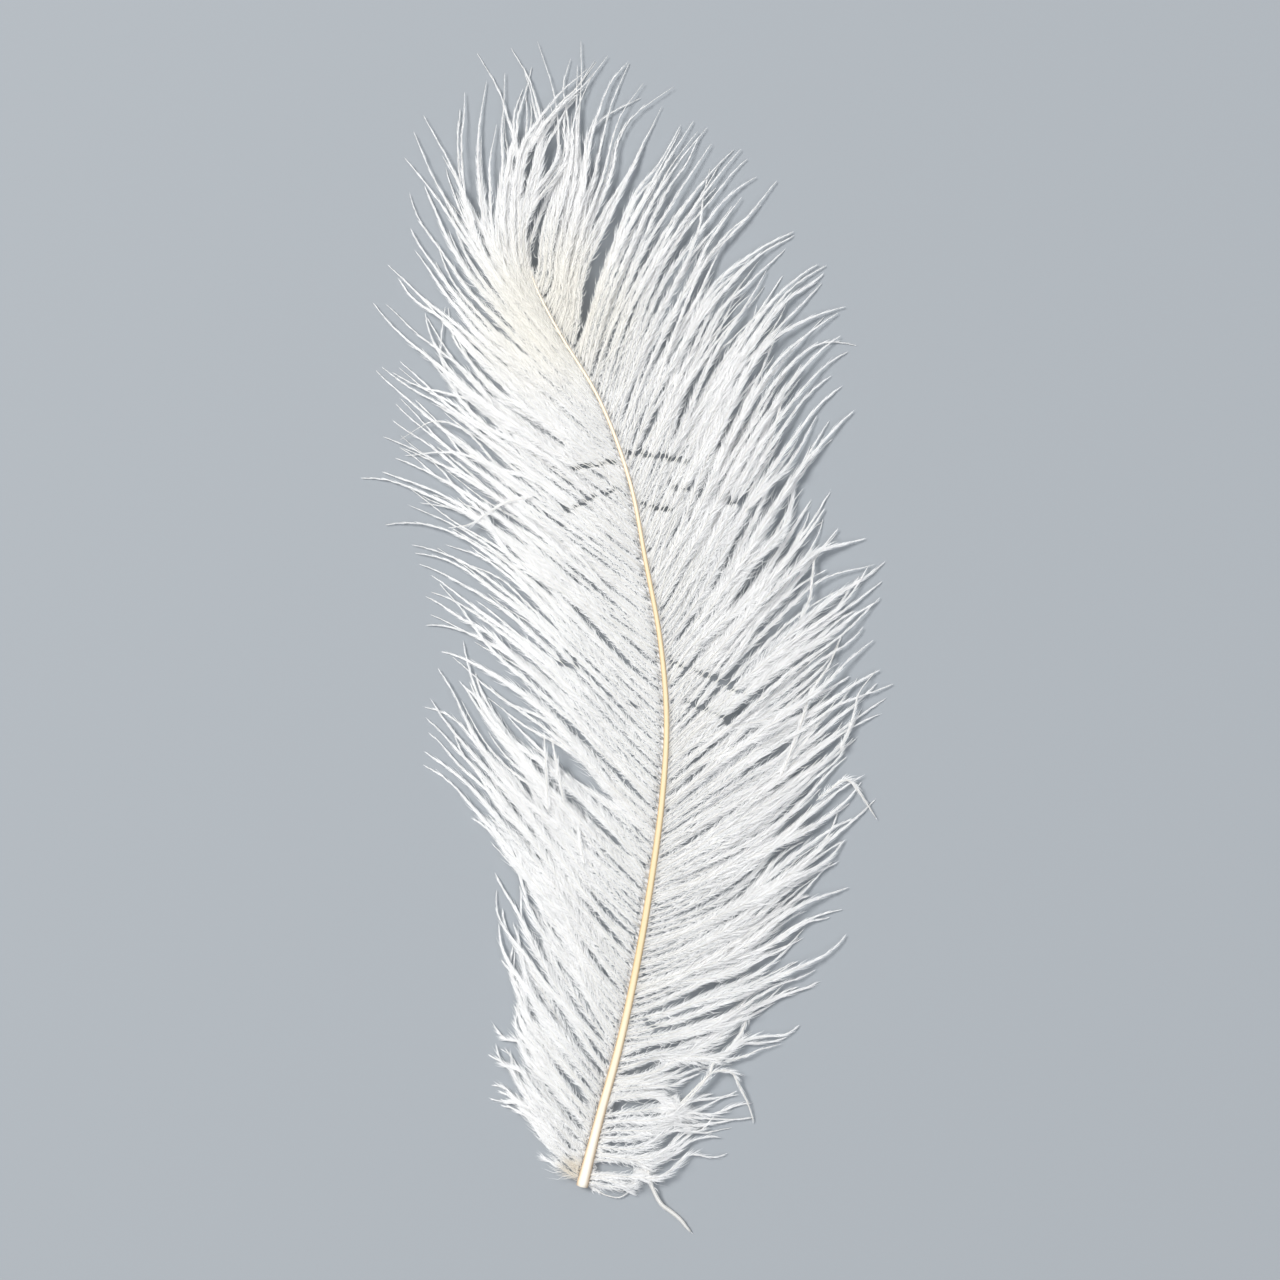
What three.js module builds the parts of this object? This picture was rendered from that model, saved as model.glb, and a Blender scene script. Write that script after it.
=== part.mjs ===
// An ostrich plume lying flat with its face up, in millimetres.
// +Y runs from the cut quill towards the plume's tip, +X is to the right seen from above, +Z is up.
// The origin is under the middle of the plume, on the surface that it rests on.
// Three pieces grew together: the shaft, and the row of barbs on each side of it. Each row is a soft
// fringe of hundreds of fibres, so it is one thin closed body here, draped from the shaft to the surface.
import * as THREE from "three";

// Driving dimensions
const seam = 0.3; // clearance between the shaft and a barb row
const tipWidth = 0.25; // the shaft's last fibre
const bladeWidth = 2.2; // added by the blade of the shaft, fading towards the tip
const quillFlare = 1.15; // added at the cut end, where the quill is round and hollow
const quillReach = 0.08; // part of the shaft's length over which that flare fades
const shaftFlatness = 0.92; // height of the shaft's section over its width
const rowRise = 0.5; // how far a barb row stands above the middle of the shaft at its root
const fringeThickness = 0.8; // thickness of a row at its outer tips
const notchDepth = 0.3; // part of a barb's length by which the fringe is cut back between two locks
const fringeStart = 0.66; // part of a barb's length inside which the row is unbroken
const drape = 0.85; // how fast a row falls away from the shaft; 1 is straight

// Fineness of the faceted surfaces
const shaftSides = 10;
const shaftSteps = 46;
const stationsPerLock = 2;
const rowSteps = 8;
const fringeSteps = 2; // the outer steps, in which the row divides into locks

// The shaft's middle line, from the cut end to the tip
const shaftRoute = [
  [-13.4, -165, 2.0],
  [-8.3, -145, 3.2],
  [-1.8, -121, 4.4],
  [3.3, -97, 5.4],
  [7.4, -73, 6.2],
  [10.6, -49, 6.8],
  [12.0, -25, 7.0],
  [10.1, -1, 7.0],
  [5.7, 23, 6.7],
  [0.9, 47, 6.3],
  [-8.0, 71, 5.7],
  [-20.5, 92, 5.1],
  [-28.7, 109, 4.7],
  [-31.8, 125, 4.3],
];

// Headings are in degrees from +Y, positive to the right.
// The heading at which the barbs leave the shaft: [height on the shaft, heading]
const leftLeave = [
  [-165, -37],
  [-50, -48],
  [23, -53],
  [59, -53],
  [92, -45],
  [106, -34],
  [119, -20],
];
const rightLeave = [
  [-165, 95],
  [-121, 87],
  [-73, 76],
  [-25, 58],
  [11, 40],
  [59, 17],
  [83, 2],
  [108, -10],
];

// The locks that the barbs gather in: [height of the root on the shaft, tip x, tip y, heading of the tip]
const leftLocks = [
  [-163, -24.5, -157, -65],
  [-158, -40, -138, -60],
  [-150, -40, -125, -50],
  [-141, -39, -117, -50],
  [-131, -33, -104, -15],
  [-122, -39, -88.5, -35],
  [-113, -36, -82, -35],
  [-104, -39, -71.5, -35],
  [-95, -41, -62, -50],
  [-86, -61, -38.5, -48],
  [-77, -60, -31, -48],
  [-68, -60, -20.5, -45],
  [-58, -56, -9.5, -38],
  [-49, -50, -1, -35],
  [-38, -60, 4, -72],
  [-28, -59, 13, -76],
  [-18, -63.5, 25.5, -78],
  [-6, -72.5, 34, -72],
  [4, -80, 48, -72],
  [14, -73.5, 61, -62],
  [26, -68.5, 71.5, -50],
  [37, -73.5, 81, -48],
  [48, -77, 100.5, -48],
  [60, -72, 112, -45],
  [70, -66, 133, -32],
  [78, -67.5, 145.5, -30],
  [85, -61, 157, -24],
  [92, -49, 164, -12],
  [99, -44.5, 176, -20],
  [106, -39, 178, -14],
  [113, -32.5, 178.5, -6],
  [119, -25.5, 179.5, 4],
];
const rightLocks = [
  [-164, 2.5, -171, 118],
  [-160, 19, -179.5, 132],
  [-154, 29.5, -155, 85],
  [-147, 31.5, -149, 80],
  [-139, 37.5, -144, 80],
  [-131, 34, -137, 72],
  [-124, 46, -123, 74],
  [-117, 51, -118, 66],
  [-110, 55.5, -105, 62],
  [-103, 56.5, -98, 60],
  [-96, 65, -90, 58],
  [-87, 64, -81.5, 62],
  [-78, 66.5, -75, 66],
  [-68, 65, -61, 56],
  [-58, 74.5, -49.5, 62],
  [-49, 71, -42, 58],
  [-41, 69.5, -31, 52],
  [-34, 78, -19, 56],
  [-26, 80, -12, 60],
  [-18, 73.5, -1, 50],
  [-9, 76, 11.5, 48],
  [0, 76.5, 22, 54],
  [10, 71, 29.5, 56],
  [19, 62.5, 38, 48],
  [27, 61.5, 59, 48],
  [35, 69, 68, 54],
  [43, 69.5, 89.5, 60],
  [51, 65.5, 99, 56],
  [59, 60.5, 112.5, 50],
  [67, 50.5, 122, 50],
  [74, 46.5, 137.5, 44],
  [79, 37, 144, 42],
  [84, 24, 154, 38],
  [89, 15, 160, 34],
  [94, 10, 168, 34],
  [99, 2, 173, 24],
  [104, -5, 177, 12],
  [108, -13.5, 179.5, 0],
];

const shaftCurve = new THREE.CatmullRomCurve3(
  shaftRoute.map(([x, y, z]) => new THREE.Vector3(x, y, z)),
  false,
  "catmullrom",
  0.5,
);

const lerp = THREE.MathUtils.lerp;

// The value of a [key, value] table at a key, straight between its entries
function readTable(table, key) {
  const last = table.length - 1;
  const next = Math.min(Math.max(table.findIndex(([k]) => k > key), 1), last);
  const above = key >= table[last][0] ? last : next;
  const [lowKey, lowValue] = table[above - 1];
  const [highKey, highValue] = table[above];
  const part = THREE.MathUtils.clamp((key - lowKey) / (highKey - lowKey), 0, 1);
  return lerp(lowValue, highValue, part);
}

// The place on the shaft at a height y: its middle, its direction seen from above, and its width
function shaftAt(y) {
  let low = 0;
  let high = 1;
  for (let i = 0; i < 30; i++) {
    const middle = (low + high) / 2;
    if (shaftCurve.getPoint(middle).y < y) low = middle;
    else high = middle;
  }
  const direction = shaftCurve.getTangent(low).setZ(0).normalize();
  return { middle: shaftCurve.getPoint(low), direction, width: shaftWidth(low) };
}

function shaftWidth(along) {
  const blade = bladeWidth * Math.pow(1 - along, 0.75);
  return tipWidth + blade + quillFlare * Math.exp(-along / quillReach);
}

function towards(heading) {
  const angle = THREE.MathUtils.degToRad(heading);
  return new THREE.Vector3(Math.sin(angle), Math.cos(angle), 0);
}

// A cylinder bent along the middle line, with the width of the shaft at each step
function makeShaft() {
  const geometry = new THREE.CylinderGeometry(0.5, 0.5, 1, shaftSides, shaftSteps);
  const place = geometry.getAttribute("position");
  for (let i = 0; i < place.count; i++) {
    const along = place.getY(i) + 0.5;
    const width = shaftWidth(along);
    const forward = shaftCurve.getTangent(along);
    const across = new THREE.Vector3(forward.y, -forward.x, 0).normalize();
    const up = new THREE.Vector3().crossVectors(across, forward);
    const point = shaftCurve
      .getPoint(along)
      .addScaledVector(across, place.getX(i) * width)
      .addScaledVector(up, place.getZ(i) * width * shaftFlatness);
    place.setXYZ(i, point.x, point.y, point.z);
  }
  geometry.computeVertexNormals();
  return geometry;
}

// One barb row, as a box whose length follows the shaft and whose depth follows the barbs
function makeRow(locks, leave, side) {
  const spans = locks.length - 1;
  const geometry = new THREE.BoxGeometry(1, 1, 1, spans * stationsPerLock, rowSteps, 1);
  const place = geometry.getAttribute("position");
  for (let i = 0; i < place.count; i++) {
    // The box is turned half round for the right row, so that its faces still point out
    const station = (0.5 - side * place.getX(i)) * spans;
    const outwards = place.getY(i) + 0.5;
    const point = rowPoint(locks, leave, side, station, outwards);
    place.setXYZ(i, point.x, point.y, place.getZ(i) > 0 ? point.z : 0);
  }
  geometry.computeVertexNormals();
  return geometry;
}

// A point on a row's upper side: station counts locks along the shaft, outwards is 0 at the shaft and
// 1 at the fringe
function rowPoint(locks, leave, side, station, outwards) {
  const lock = Math.min(Math.floor(station), locks.length - 2);
  const part = station - lock;
  const [rootY, tipX, tipY, tipHeading] = locks[lock].map((value, k) =>
    lerp(value, locks[lock + 1][k], part),
  );
  const { middle, direction, width } = shaftAt(rootY);
  const across = new THREE.Vector3(direction.y, -direction.x, 0);
  const root = middle.clone().addScaledVector(across, side * (width / 2 + seam));
  const tip = new THREE.Vector3(tipX, tipY, 0);
  const reach = Math.hypot(tip.x - root.x, tip.y - root.y);
  const path = new THREE.CubicBezierCurve3(
    root.setZ(0),
    root.clone().addScaledVector(towards(readTable(leave, rootY)), 0.35 * reach),
    tip.clone().addScaledVector(towards(tipHeading), -0.3 * reach),
    tip,
  );
  const end = 1 - notchDepth * Math.sin(Math.PI * part);
  const divide = 1 - fringeSteps / rowSteps;
  const inside = outwards < divide;
  const point = path.getPoint(
    inside
      ? (outwards / divide) * fringeStart
      : lerp(fringeStart, end, (outwards - divide) / (1 - divide)),
  );
  const rootHeight = middle.z + rowRise;
  const fall = Math.pow(1 - outwards, drape);
  point.z = lerp(fringeThickness, rootHeight, fall);
  return point;
}

const shaftHorn = new THREE.MeshStandardMaterial({
  color: 0xf3e1b6,
  roughness: 0.42,
  metalness: 0,
});
const barbKeratin = new THREE.MeshStandardMaterial({
  color: 0xf4f4f1,
  roughness: 0.8,
  metalness: 0,
});

const plume = new THREE.Group();
const pieces = [
  ["shaft", makeShaft(), shaftHorn],
  ["left_vane", makeRow(leftLocks, leftLeave, -1), barbKeratin],
  ["right_vane", makeRow(rightLocks, rightLeave, 1), barbKeratin],
];
for (const [name, geometry, material] of pieces) {
  const mesh = new THREE.Mesh(geometry, material);
  mesh.name = name;
  plume.add(mesh);
}

export default plume;
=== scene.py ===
import bpy
import numpy as np
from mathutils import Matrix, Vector


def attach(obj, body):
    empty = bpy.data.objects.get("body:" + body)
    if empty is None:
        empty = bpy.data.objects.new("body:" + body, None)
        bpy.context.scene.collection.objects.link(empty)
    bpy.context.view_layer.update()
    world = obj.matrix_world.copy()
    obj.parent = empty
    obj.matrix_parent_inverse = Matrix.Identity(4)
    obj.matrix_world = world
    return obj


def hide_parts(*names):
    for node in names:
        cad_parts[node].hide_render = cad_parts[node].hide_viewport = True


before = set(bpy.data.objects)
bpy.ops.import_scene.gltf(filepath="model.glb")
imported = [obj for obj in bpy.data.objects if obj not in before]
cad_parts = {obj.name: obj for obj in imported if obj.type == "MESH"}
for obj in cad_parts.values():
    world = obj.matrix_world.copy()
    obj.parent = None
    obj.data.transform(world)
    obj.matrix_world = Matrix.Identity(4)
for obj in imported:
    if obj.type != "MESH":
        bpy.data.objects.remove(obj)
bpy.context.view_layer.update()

# A white ostrich plume lying flat with its face up, in metres: +Y runs from the cut quill to the
# plume's tip, +X is to the right seen from above, +Z is up, and the surface it rests on is Z 0.
# The shaft, the barbs on both sides of it and the barbules on every barb are modelled one by one.
# Tables are in millimetres, and headings are in degrees from +Y, positive to the right.
mm = 0.001
random = np.random.default_rng(23)  # seeded, so that every run grows the same plume


def linearColour(hexText):
    parts = [int(hexText[i : i + 2], 16) / 255 for i in (1, 3, 5)]
    linear = [c / 12.92 if c <= 0.04045 else ((c + 0.055) / 1.055) ** 2.4 for c in parts]
    return (*linear, 1.0)


def addNode(tree, kind, links=(), stops=(), **settings):
    # links are (socket, value or another node's output), stops are the places and colours of a
    # ramp, and settings are the node's own choices. A Mix node's two colours are its sockets 6
    # and 7, and the mixed colour is its output 2.
    node = tree.nodes.new(kind)
    for name, value in settings.items():
        setattr(node, name, value)
    if stops:
        elements = node.color_ramp.elements
        while len(elements) < len(stops):
            elements.new(0.5)
        for element, (place, colour) in zip(elements, stops):
            element.position = place
            element.color = linearColour(colour)
    for socket, value in links:
        if isinstance(value, bpy.types.NodeSocket):
            tree.links.new(value, node.inputs[socket])
        else:
            node.inputs[socket].default_value = value
    return node


def readTable(table, key, column=1):
    table = np.array(table, float)
    return np.interp(key, table[:, 0], table[:, column])


def towards(heading):
    angle = np.radians(heading)
    return np.stack([np.sin(angle), np.cos(angle), np.zeros_like(angle)], -1)


def unit(vectors):
    return vectors / np.maximum(np.linalg.norm(vectors, axis=-1, keepdims=True), 1e-9)


def makePiece(name, points, triangles, cornerUv, values, material, node):
    # points in mm; values is a dictionary of named numbers, one for each point
    mesh = bpy.data.meshes.new(name)
    mesh.vertices.add(len(points))
    mesh.vertices.foreach_set("co", (points * mm).astype(np.float32).ravel())
    mesh.loops.add(triangles.size)
    mesh.loops.foreach_set("vertex_index", triangles.astype(np.int32).ravel())
    mesh.polygons.add(len(triangles))
    mesh.polygons.foreach_set("loop_start", np.arange(0, triangles.size, 3, dtype=np.int32))
    mesh.update(calc_edges=True)
    mesh.validate()
    uvMap = mesh.uv_layers.new(name="OFBake")  # the piece's UV map
    uvMap.uv.foreach_set("vector", cornerUv.astype(np.float32).ravel())
    for key, numbers in values.items():
        attribute = mesh.attributes.new(key, "FLOAT", "POINT")
        attribute.data.foreach_set("value", numbers.astype(np.float32))
    mesh.materials.append(material)
    piece = bpy.data.objects.new(name, mesh)
    bpy.context.scene.collection.objects.link(piece)
    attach(piece, "root")
    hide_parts(node)
    print(name, "has", len(triangles), "triangles")


# Camera: straight above, with the plume's tip at the top of the picture
view = {
    "centre": (4.05, -0.75, 4.0),  # mm
    "height": 907.0,  # mm above the centre
    "lens": 85.0,
    "sensor": 36.0,
    "nearest": 0.01,  # m; what is nearer to the lens is left out
}
cameraData = bpy.data.cameras.new("overhead_camera")
cameraData.lens = view["lens"]
cameraData.sensor_width = view["sensor"]
cameraData.clip_start = view["nearest"]
camera = bpy.data.objects.new("overhead_camera", cameraData)
camera.location = Vector(view["centre"]) * mm + Vector((0, 0, view["height"] * mm))
bpy.context.scene.collection.objects.link(camera)
bpy.context.scene.camera = camera

# Floor and light: a smooth pale table and two softboxes under an even ceiling
studio = {
    "floorColour": "#93989D",
    "floorRoughness": 0.85,
    "floorGloss": 0.25,
    "floorHalf": 12.0,  # m
    "ceilingColour": "#E9EDF2",
    "ceilingStrength": 0.55,
    "softboxes": [
        # name, place in m, side in m, power in W, colour
        ("key_softbox", (-2.40, 1.74, 3.90), 1.65, 270.0, "#FFFDFA"),
        ("fill_softbox", (1.80, -1.35, 3.90), 3.00, 54.0, "#F8FAFF"),
    ],
}


def makeFloorMaterial():
    # Coated board, rolled smooth: a matt, even ground with hardly any mottling
    material = bpy.data.materials.new("coated_board_matt")
    material.use_nodes = True
    tree = material.node_tree
    surface = tree.nodes["Principled BSDF"]
    surface.inputs["Base Color"].default_value = linearColour(studio["floorColour"])
    surface.inputs["Roughness"].default_value = studio["floorRoughness"]
    surface.inputs["Specular IOR Level"].default_value = studio["floorGloss"]
    return material


def makeStudio():
    half = studio["floorHalf"]
    mesh = bpy.data.meshes.new("pale_floor")
    corners = [(-half, -half, 0), (half, -half, 0), (half, half, 0), (-half, half, 0)]
    mesh.from_pydata(corners, [], [(0, 1, 2, 3)])
    mesh.materials.append(makeFloorMaterial())
    floor = bpy.data.objects.new("pale_floor", mesh)
    bpy.context.scene.collection.objects.link(floor)
    world = bpy.data.worlds.new("even_ceiling")
    world.use_nodes = True
    background = world.node_tree.nodes["Background"]
    background.inputs["Color"].default_value = linearColour(studio["ceilingColour"])
    background.inputs["Strength"].default_value = studio["ceilingStrength"]
    bpy.context.scene.world = world
    for name, place, side, power, colour in studio["softboxes"]:
        lamp = bpy.data.lights.new(name, "AREA")
        lamp.size = side
        lamp.energy = power
        lamp.color = linearColour(colour)[:3]
        box = bpy.data.objects.new(name, lamp)
        box.location = place
        box.rotation_euler = (-Vector(place)).to_track_quat("-Z", "Y").to_euler()
        bpy.context.scene.collection.objects.link(box)
    bpy.context.scene.view_settings.view_transform = "Standard"


makeStudio()
print("studio made")

# Shaft: a quill that is round, hollow and cut square at its base, and tapers into a fibre
shaft = {
    "route": [
        (-13.4, -165, 2.0),
        (-8.3, -145, 3.2),
        (-1.8, -121, 4.4),
        (3.3, -97, 5.4),
        (7.4, -73, 6.2),
        (10.6, -49, 6.8),
        (12.0, -25, 7.0),
        (10.1, -1, 7.0),
        (5.7, 23, 6.7),
        (0.9, 47, 6.3),
        (-8.0, 71, 5.7),
        (-20.5, 92, 5.1),
        (-28.7, 109, 4.7),
        (-31.8, 125, 4.3),
    ],
    "tipWidth": 0.25,
    "bladeWidth": 2.2,
    "bladeFade": 0.75,  # power with which the blade narrows towards the tip
    "quillFlare": 1.15,
    "quillReach": 0.08,  # part of the length over which the flare fades
    "flatness": 0.92,
    "sides": 28,
    "steps": 220,
    "samples": 3000,  # of its middle line, for finding places on it
    "wall": 0.35,  # thickness of the quill at the cut
    "hollow": 5.0,  # depth of the hollow
    "hollowSideShade": 0.6,  # how far round from the top its inside counts, for the painted side shade
    "rim": 0.12,  # rounding of the cut edge
    "groove": (0.10, 0.35),  # depth as a part of the radius, and half width in radians
    "grooveFrom": (0.06, 0.15),  # where it starts along the shaft, and over how much it deepens
    "alongColour": [
        (0.0, "#F3F1ED"),
        (0.08, "#EFEADF"),
        (0.26, "#E0D0AC"),
        (0.6, "#E0D2B2"),
        (0.72, "#EBE4D4"),
        (1.0, "#F5F2EA"),
    ],
    # Painted shade: a deeper honey on the shaft's sides and underside, standing in for the light that
    # passes through more horn there
    "sideShadeColour": "#C9A36C",
    "sideShadeFade": 2.2,  # power with which that painted shade sets in on the way round to the side
    "sideShadeShare": 0.85,
    # Lengthwise fibres, 0.25 mm wide and about 25 mm long, coarser than the real ones so they show
    "fibreCounts": (12, 44, 1),  # along the shaft and round the quill
    "fibreColours": [(0.3, "#EFE2C8"), (0.7, "#FFFFFF")],
    "fibreShare": 0.45,
    "fibreBump": 0.35,
    "fibreHeight": 0.00015,  # m
    "roughness": (0.34, 0.52),
    "ior": 1.55,
}


def routePoint(route, along):
    # The smooth curve through the route's points, evenly spread over them
    route = np.array(route, float)
    ends = [2 * route[:1] - route[1:2], route, 2 * route[-1:] - route[-2:-1]]
    padded = np.concatenate(ends)
    place = np.clip(along, 0, 1) * (len(route) - 1)
    low = np.minimum(place.astype(int), len(route) - 2)
    w = (place - low)[:, None]
    a, b, c, d = (padded[low + k] for k in range(4))
    slopeB = 0.5 * (c - a)
    slopeC = 0.5 * (d - b)
    cubic = 2 * b - 2 * c + slopeB + slopeC
    square = -3 * b + 3 * c - 2 * slopeB - slopeC
    return ((cubic * w + square) * w + slopeB) * w + b


def shaftWidth(along):
    blade = shaft["bladeWidth"] * (1 - along) ** shaft["bladeFade"]
    return shaft["tipWidth"] + blade + shaft["quillFlare"] * np.exp(-along / shaft["quillReach"])


shaftAlong = np.linspace(0, 1, shaft["samples"])
shaftPoints = routePoint(shaft["route"], shaftAlong)
shaftForward = unit(np.gradient(shaftPoints, axis=0))


def shaftAt(rootY):
    # The shaft's middle, direction and width at heights on it
    along = np.interp(rootY, shaftPoints[:, 1], shaftAlong)
    middle = np.stack([np.interp(along, shaftAlong, shaftPoints[:, k]) for k in range(3)], -1)
    forward = np.stack([np.interp(along, shaftAlong, shaftForward[:, k]) for k in range(3)], -1)
    return middle, unit(forward), shaftWidth(along)


def gridTriangles(rows, columns, wrap):
    # Two triangles for each cell of a grid of points, whose columns may close into a ring
    cells = columns if wrap else columns - 1
    r, c = np.meshgrid(np.arange(rows - 1), np.arange(cells), indexing="ij")
    nextColumn = (c + 1) % columns
    corner = [r * columns + c, r * columns + nextColumn]
    corner += [(r + 1) * columns + nextColumn, (r + 1) * columns + c]
    first = np.stack([corner[0], corner[1], corner[2]], -1)
    second = np.stack([corner[0], corner[2], corner[3]], -1)
    uvCorner = [(r, c), (r, c + 1), (r + 1, c + 1), (r + 1, c)]
    uv = np.stack([np.stack([a / (rows - 1), b / cells], -1) for a, b in uvCorner], -2)
    uvFirst = uv[..., [0, 1, 2], :]
    uvSecond = uv[..., [0, 2, 3], :]
    triangles = np.stack([first, second], -2).reshape(-1, 3)
    return triangles, np.stack([uvFirst, uvSecond], -3).reshape(-1, 3, 2)


def makeShaftMaterial():
    # Feather horn, grown in long fibres and bleached: satin, warm cream, white at the hollow quill,
    # with a painted shade of deeper honey along its sides and underside for the light that passes through
    # more of it there
    material = bpy.data.materials.new("feather_horn_bleached")
    material.use_nodes = True
    tree = material.node_tree
    surface = tree.nodes["Principled BSDF"]
    wrap = addNode(tree, "ShaderNodeUVMap", uv_map="OFBake").outputs["UV"]
    split = addNode(tree, "ShaderNodeSeparateXYZ", [("Vector", wrap)]).outputs
    alongColour = addNode(
        tree,
        "ShaderNodeValToRGB",
        [("Fac", split["X"])],
        shaft["alongColour"],
    ).outputs["Color"]
    stretched = addNode(
        tree,
        "ShaderNodeMapping",
        [("Vector", wrap), ("Scale", shaft["fibreCounts"])],
    )
    fibres = addNode(
        tree,
        "ShaderNodeTexNoise",
        [("Vector", stretched.outputs["Vector"]), ("Scale", 1.0), ("Detail", 4.0)],
    ).outputs["Fac"]
    # side says how far round from the top a point is, and sets how much painted side shade it gets
    side = addNode(tree, "ShaderNodeAttribute", attribute_name="side").outputs["Fac"]
    setIn = addNode(
        tree,
        "ShaderNodeMath",
        [(0, side), (1, shaft["sideShadeFade"])],
        operation="POWER",
    ).outputs["Value"]
    paintedSideShade = addNode(
        tree,
        "ShaderNodeMath",
        [(0, setIn), (1, shaft["sideShadeShare"])],
        operation="MULTIPLY",
    )
    sideShadedColour = addNode(
        tree,
        "ShaderNodeMix",
        [("Factor", paintedSideShade.outputs["Value"]), (6, alongColour), (7, linearColour(shaft["sideShadeColour"]))],
        data_type="RGBA",
    ).outputs[2]
    fibreTone = addNode(
        tree,
        "ShaderNodeValToRGB",
        [("Fac", fibres)],
        shaft["fibreColours"],
    ).outputs["Color"]
    toned = addNode(
        tree,
        "ShaderNodeMix",
        [("Factor", shaft["fibreShare"]), (6, sideShadedColour), (7, fibreTone)],
        data_type="RGBA",
        blend_type="MULTIPLY",
    ).outputs[2]
    smoothest, roughest = shaft["roughness"]
    rough = addNode(
        tree,
        "ShaderNodeMapRange",
        [("Value", fibres), ("To Min", smoothest), ("To Max", roughest)],
    ).outputs["Result"]
    bump = addNode(
        tree,
        "ShaderNodeBump",
        [("Height", fibres), ("Strength", shaft["fibreBump"]), ("Distance", shaft["fibreHeight"])],
    ).outputs["Normal"]
    tree.links.new(toned, surface.inputs["Base Color"])
    tree.links.new(rough, surface.inputs["Roughness"])
    tree.links.new(bump, surface.inputs["Normal"])
    surface.inputs["IOR"].default_value = shaft["ior"]
    return material


def makeShaft():
    sides = shaft["sides"]
    # Steps run up the hollow, over the cut edge and then along the outside to the tip
    along = np.linspace(0, 1, shaft["steps"] + 1)
    width = shaftWidth(along)
    length = np.linalg.norm(np.diff(shaftPoints, axis=0), axis=1).sum()
    inner = width[0] / 2 - shaft["wall"]
    rim = shaft["rim"]
    eased = rim * 0.3  # where the rounding of the edge is half done
    mouth = [
        # distance along the shaft, radius
        (shaft["hollow"], 0.02),
        (shaft["hollow"] * 0.96, inner * 0.7),
        (shaft["hollow"] * 0.8, inner),
        (rim, inner),
        (eased, inner + eased),
        (0.0, inner + rim),
        (0.0, width[0] / 2 - rim),
        (eased, width[0] / 2 - eased),
    ]
    insideRings = 4  # the first of those, which lie in the hollow
    lastRadius = 0.01  # at the closed tip
    places = np.array([d / length for d, _ in mouth] + list(along[1:]) + [1.0])
    radii = np.array([r for _, r in mouth] + list(width[1:] / 2) + [lastRadius])
    centre = routePoint(shaft["route"], places)
    forward = np.stack([np.interp(places, shaftAlong, shaftForward[:, k]) for k in range(3)], -1)
    forward = unit(forward)
    across = unit(np.stack([forward[:, 1], -forward[:, 0], np.zeros(len(places))], -1))
    upward = np.cross(across, forward)
    turn = np.arange(sides) / sides * 2 * np.pi
    sideways = across[:, None] * np.sin(turn)[None, :, None]
    height = upward[:, None] * np.cos(turn)[None, :, None] * shaft["flatness"]
    points = centre[:, None] + (sideways + height) * radii[:, None, None]
    # The blade's upper face is grooved a little past the quill, as the horn sets in two ridges
    grooveDepth, grooveHalf = shaft["groove"]
    grooveStart, grooveRise = shaft["grooveFrom"]
    fromTop = np.angle(np.exp(1j * turn))
    groove = grooveDepth * np.exp(-((fromTop / grooveHalf) ** 2))
    depth = groove[None] * (radii * np.clip((places - grooveStart) / grooveRise, 0, 1))[:, None]
    points -= upward[:, None] * depth[..., None]
    points = np.concatenate([points.reshape(-1, 3), centre[:1], centre[-1:]])
    triangles, uv = gridTriangles(len(places), sides, True)
    ring = np.arange(sides)
    last = (len(places) - 1) * sides
    inside = np.stack([np.full(sides, last + sides), (ring + 1) % sides, ring], -1)
    point = np.stack([np.full(sides, last + sides + 1), last + ring, last + (ring + 1) % sides], -1)
    caps = np.concatenate([inside, point])
    capReach = 0.002  # part of the UV map for each of the two closed ends
    capUv = np.zeros((len(caps), 3, 2))
    capUv[:sides, :, 0] = [0.0, capReach, capReach]
    capUv[sides:, :, 0] = [1.0, 1 - capReach, 1 - capReach]
    capUv[:, :, 1] = np.tile(np.stack([ring, ring, ring + 1], -1) / sides, (2, 1))
    # How far round from the top each point is, for the painted shade on the sides; the lower half has all
    # of it, and the hollow has one value
    side = np.tile(np.abs(np.sin(turn)), (len(places), 1))
    side[:, np.cos(turn) < 0] = 1.0
    side[:insideRings] = shaft["hollowSideShade"]
    values = {"side": np.concatenate([side.ravel(), [shaft["hollowSideShade"], 1.0]])}
    makePiece(
        "quill_and_shaft",
        points,
        np.concatenate([triangles, caps]),
        np.concatenate([uv, capUv]).reshape(-1, 2),
        values,
        makeShaftMaterial(),
        "shaft",
    )


makeShaft()
print("shaft made")

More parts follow.
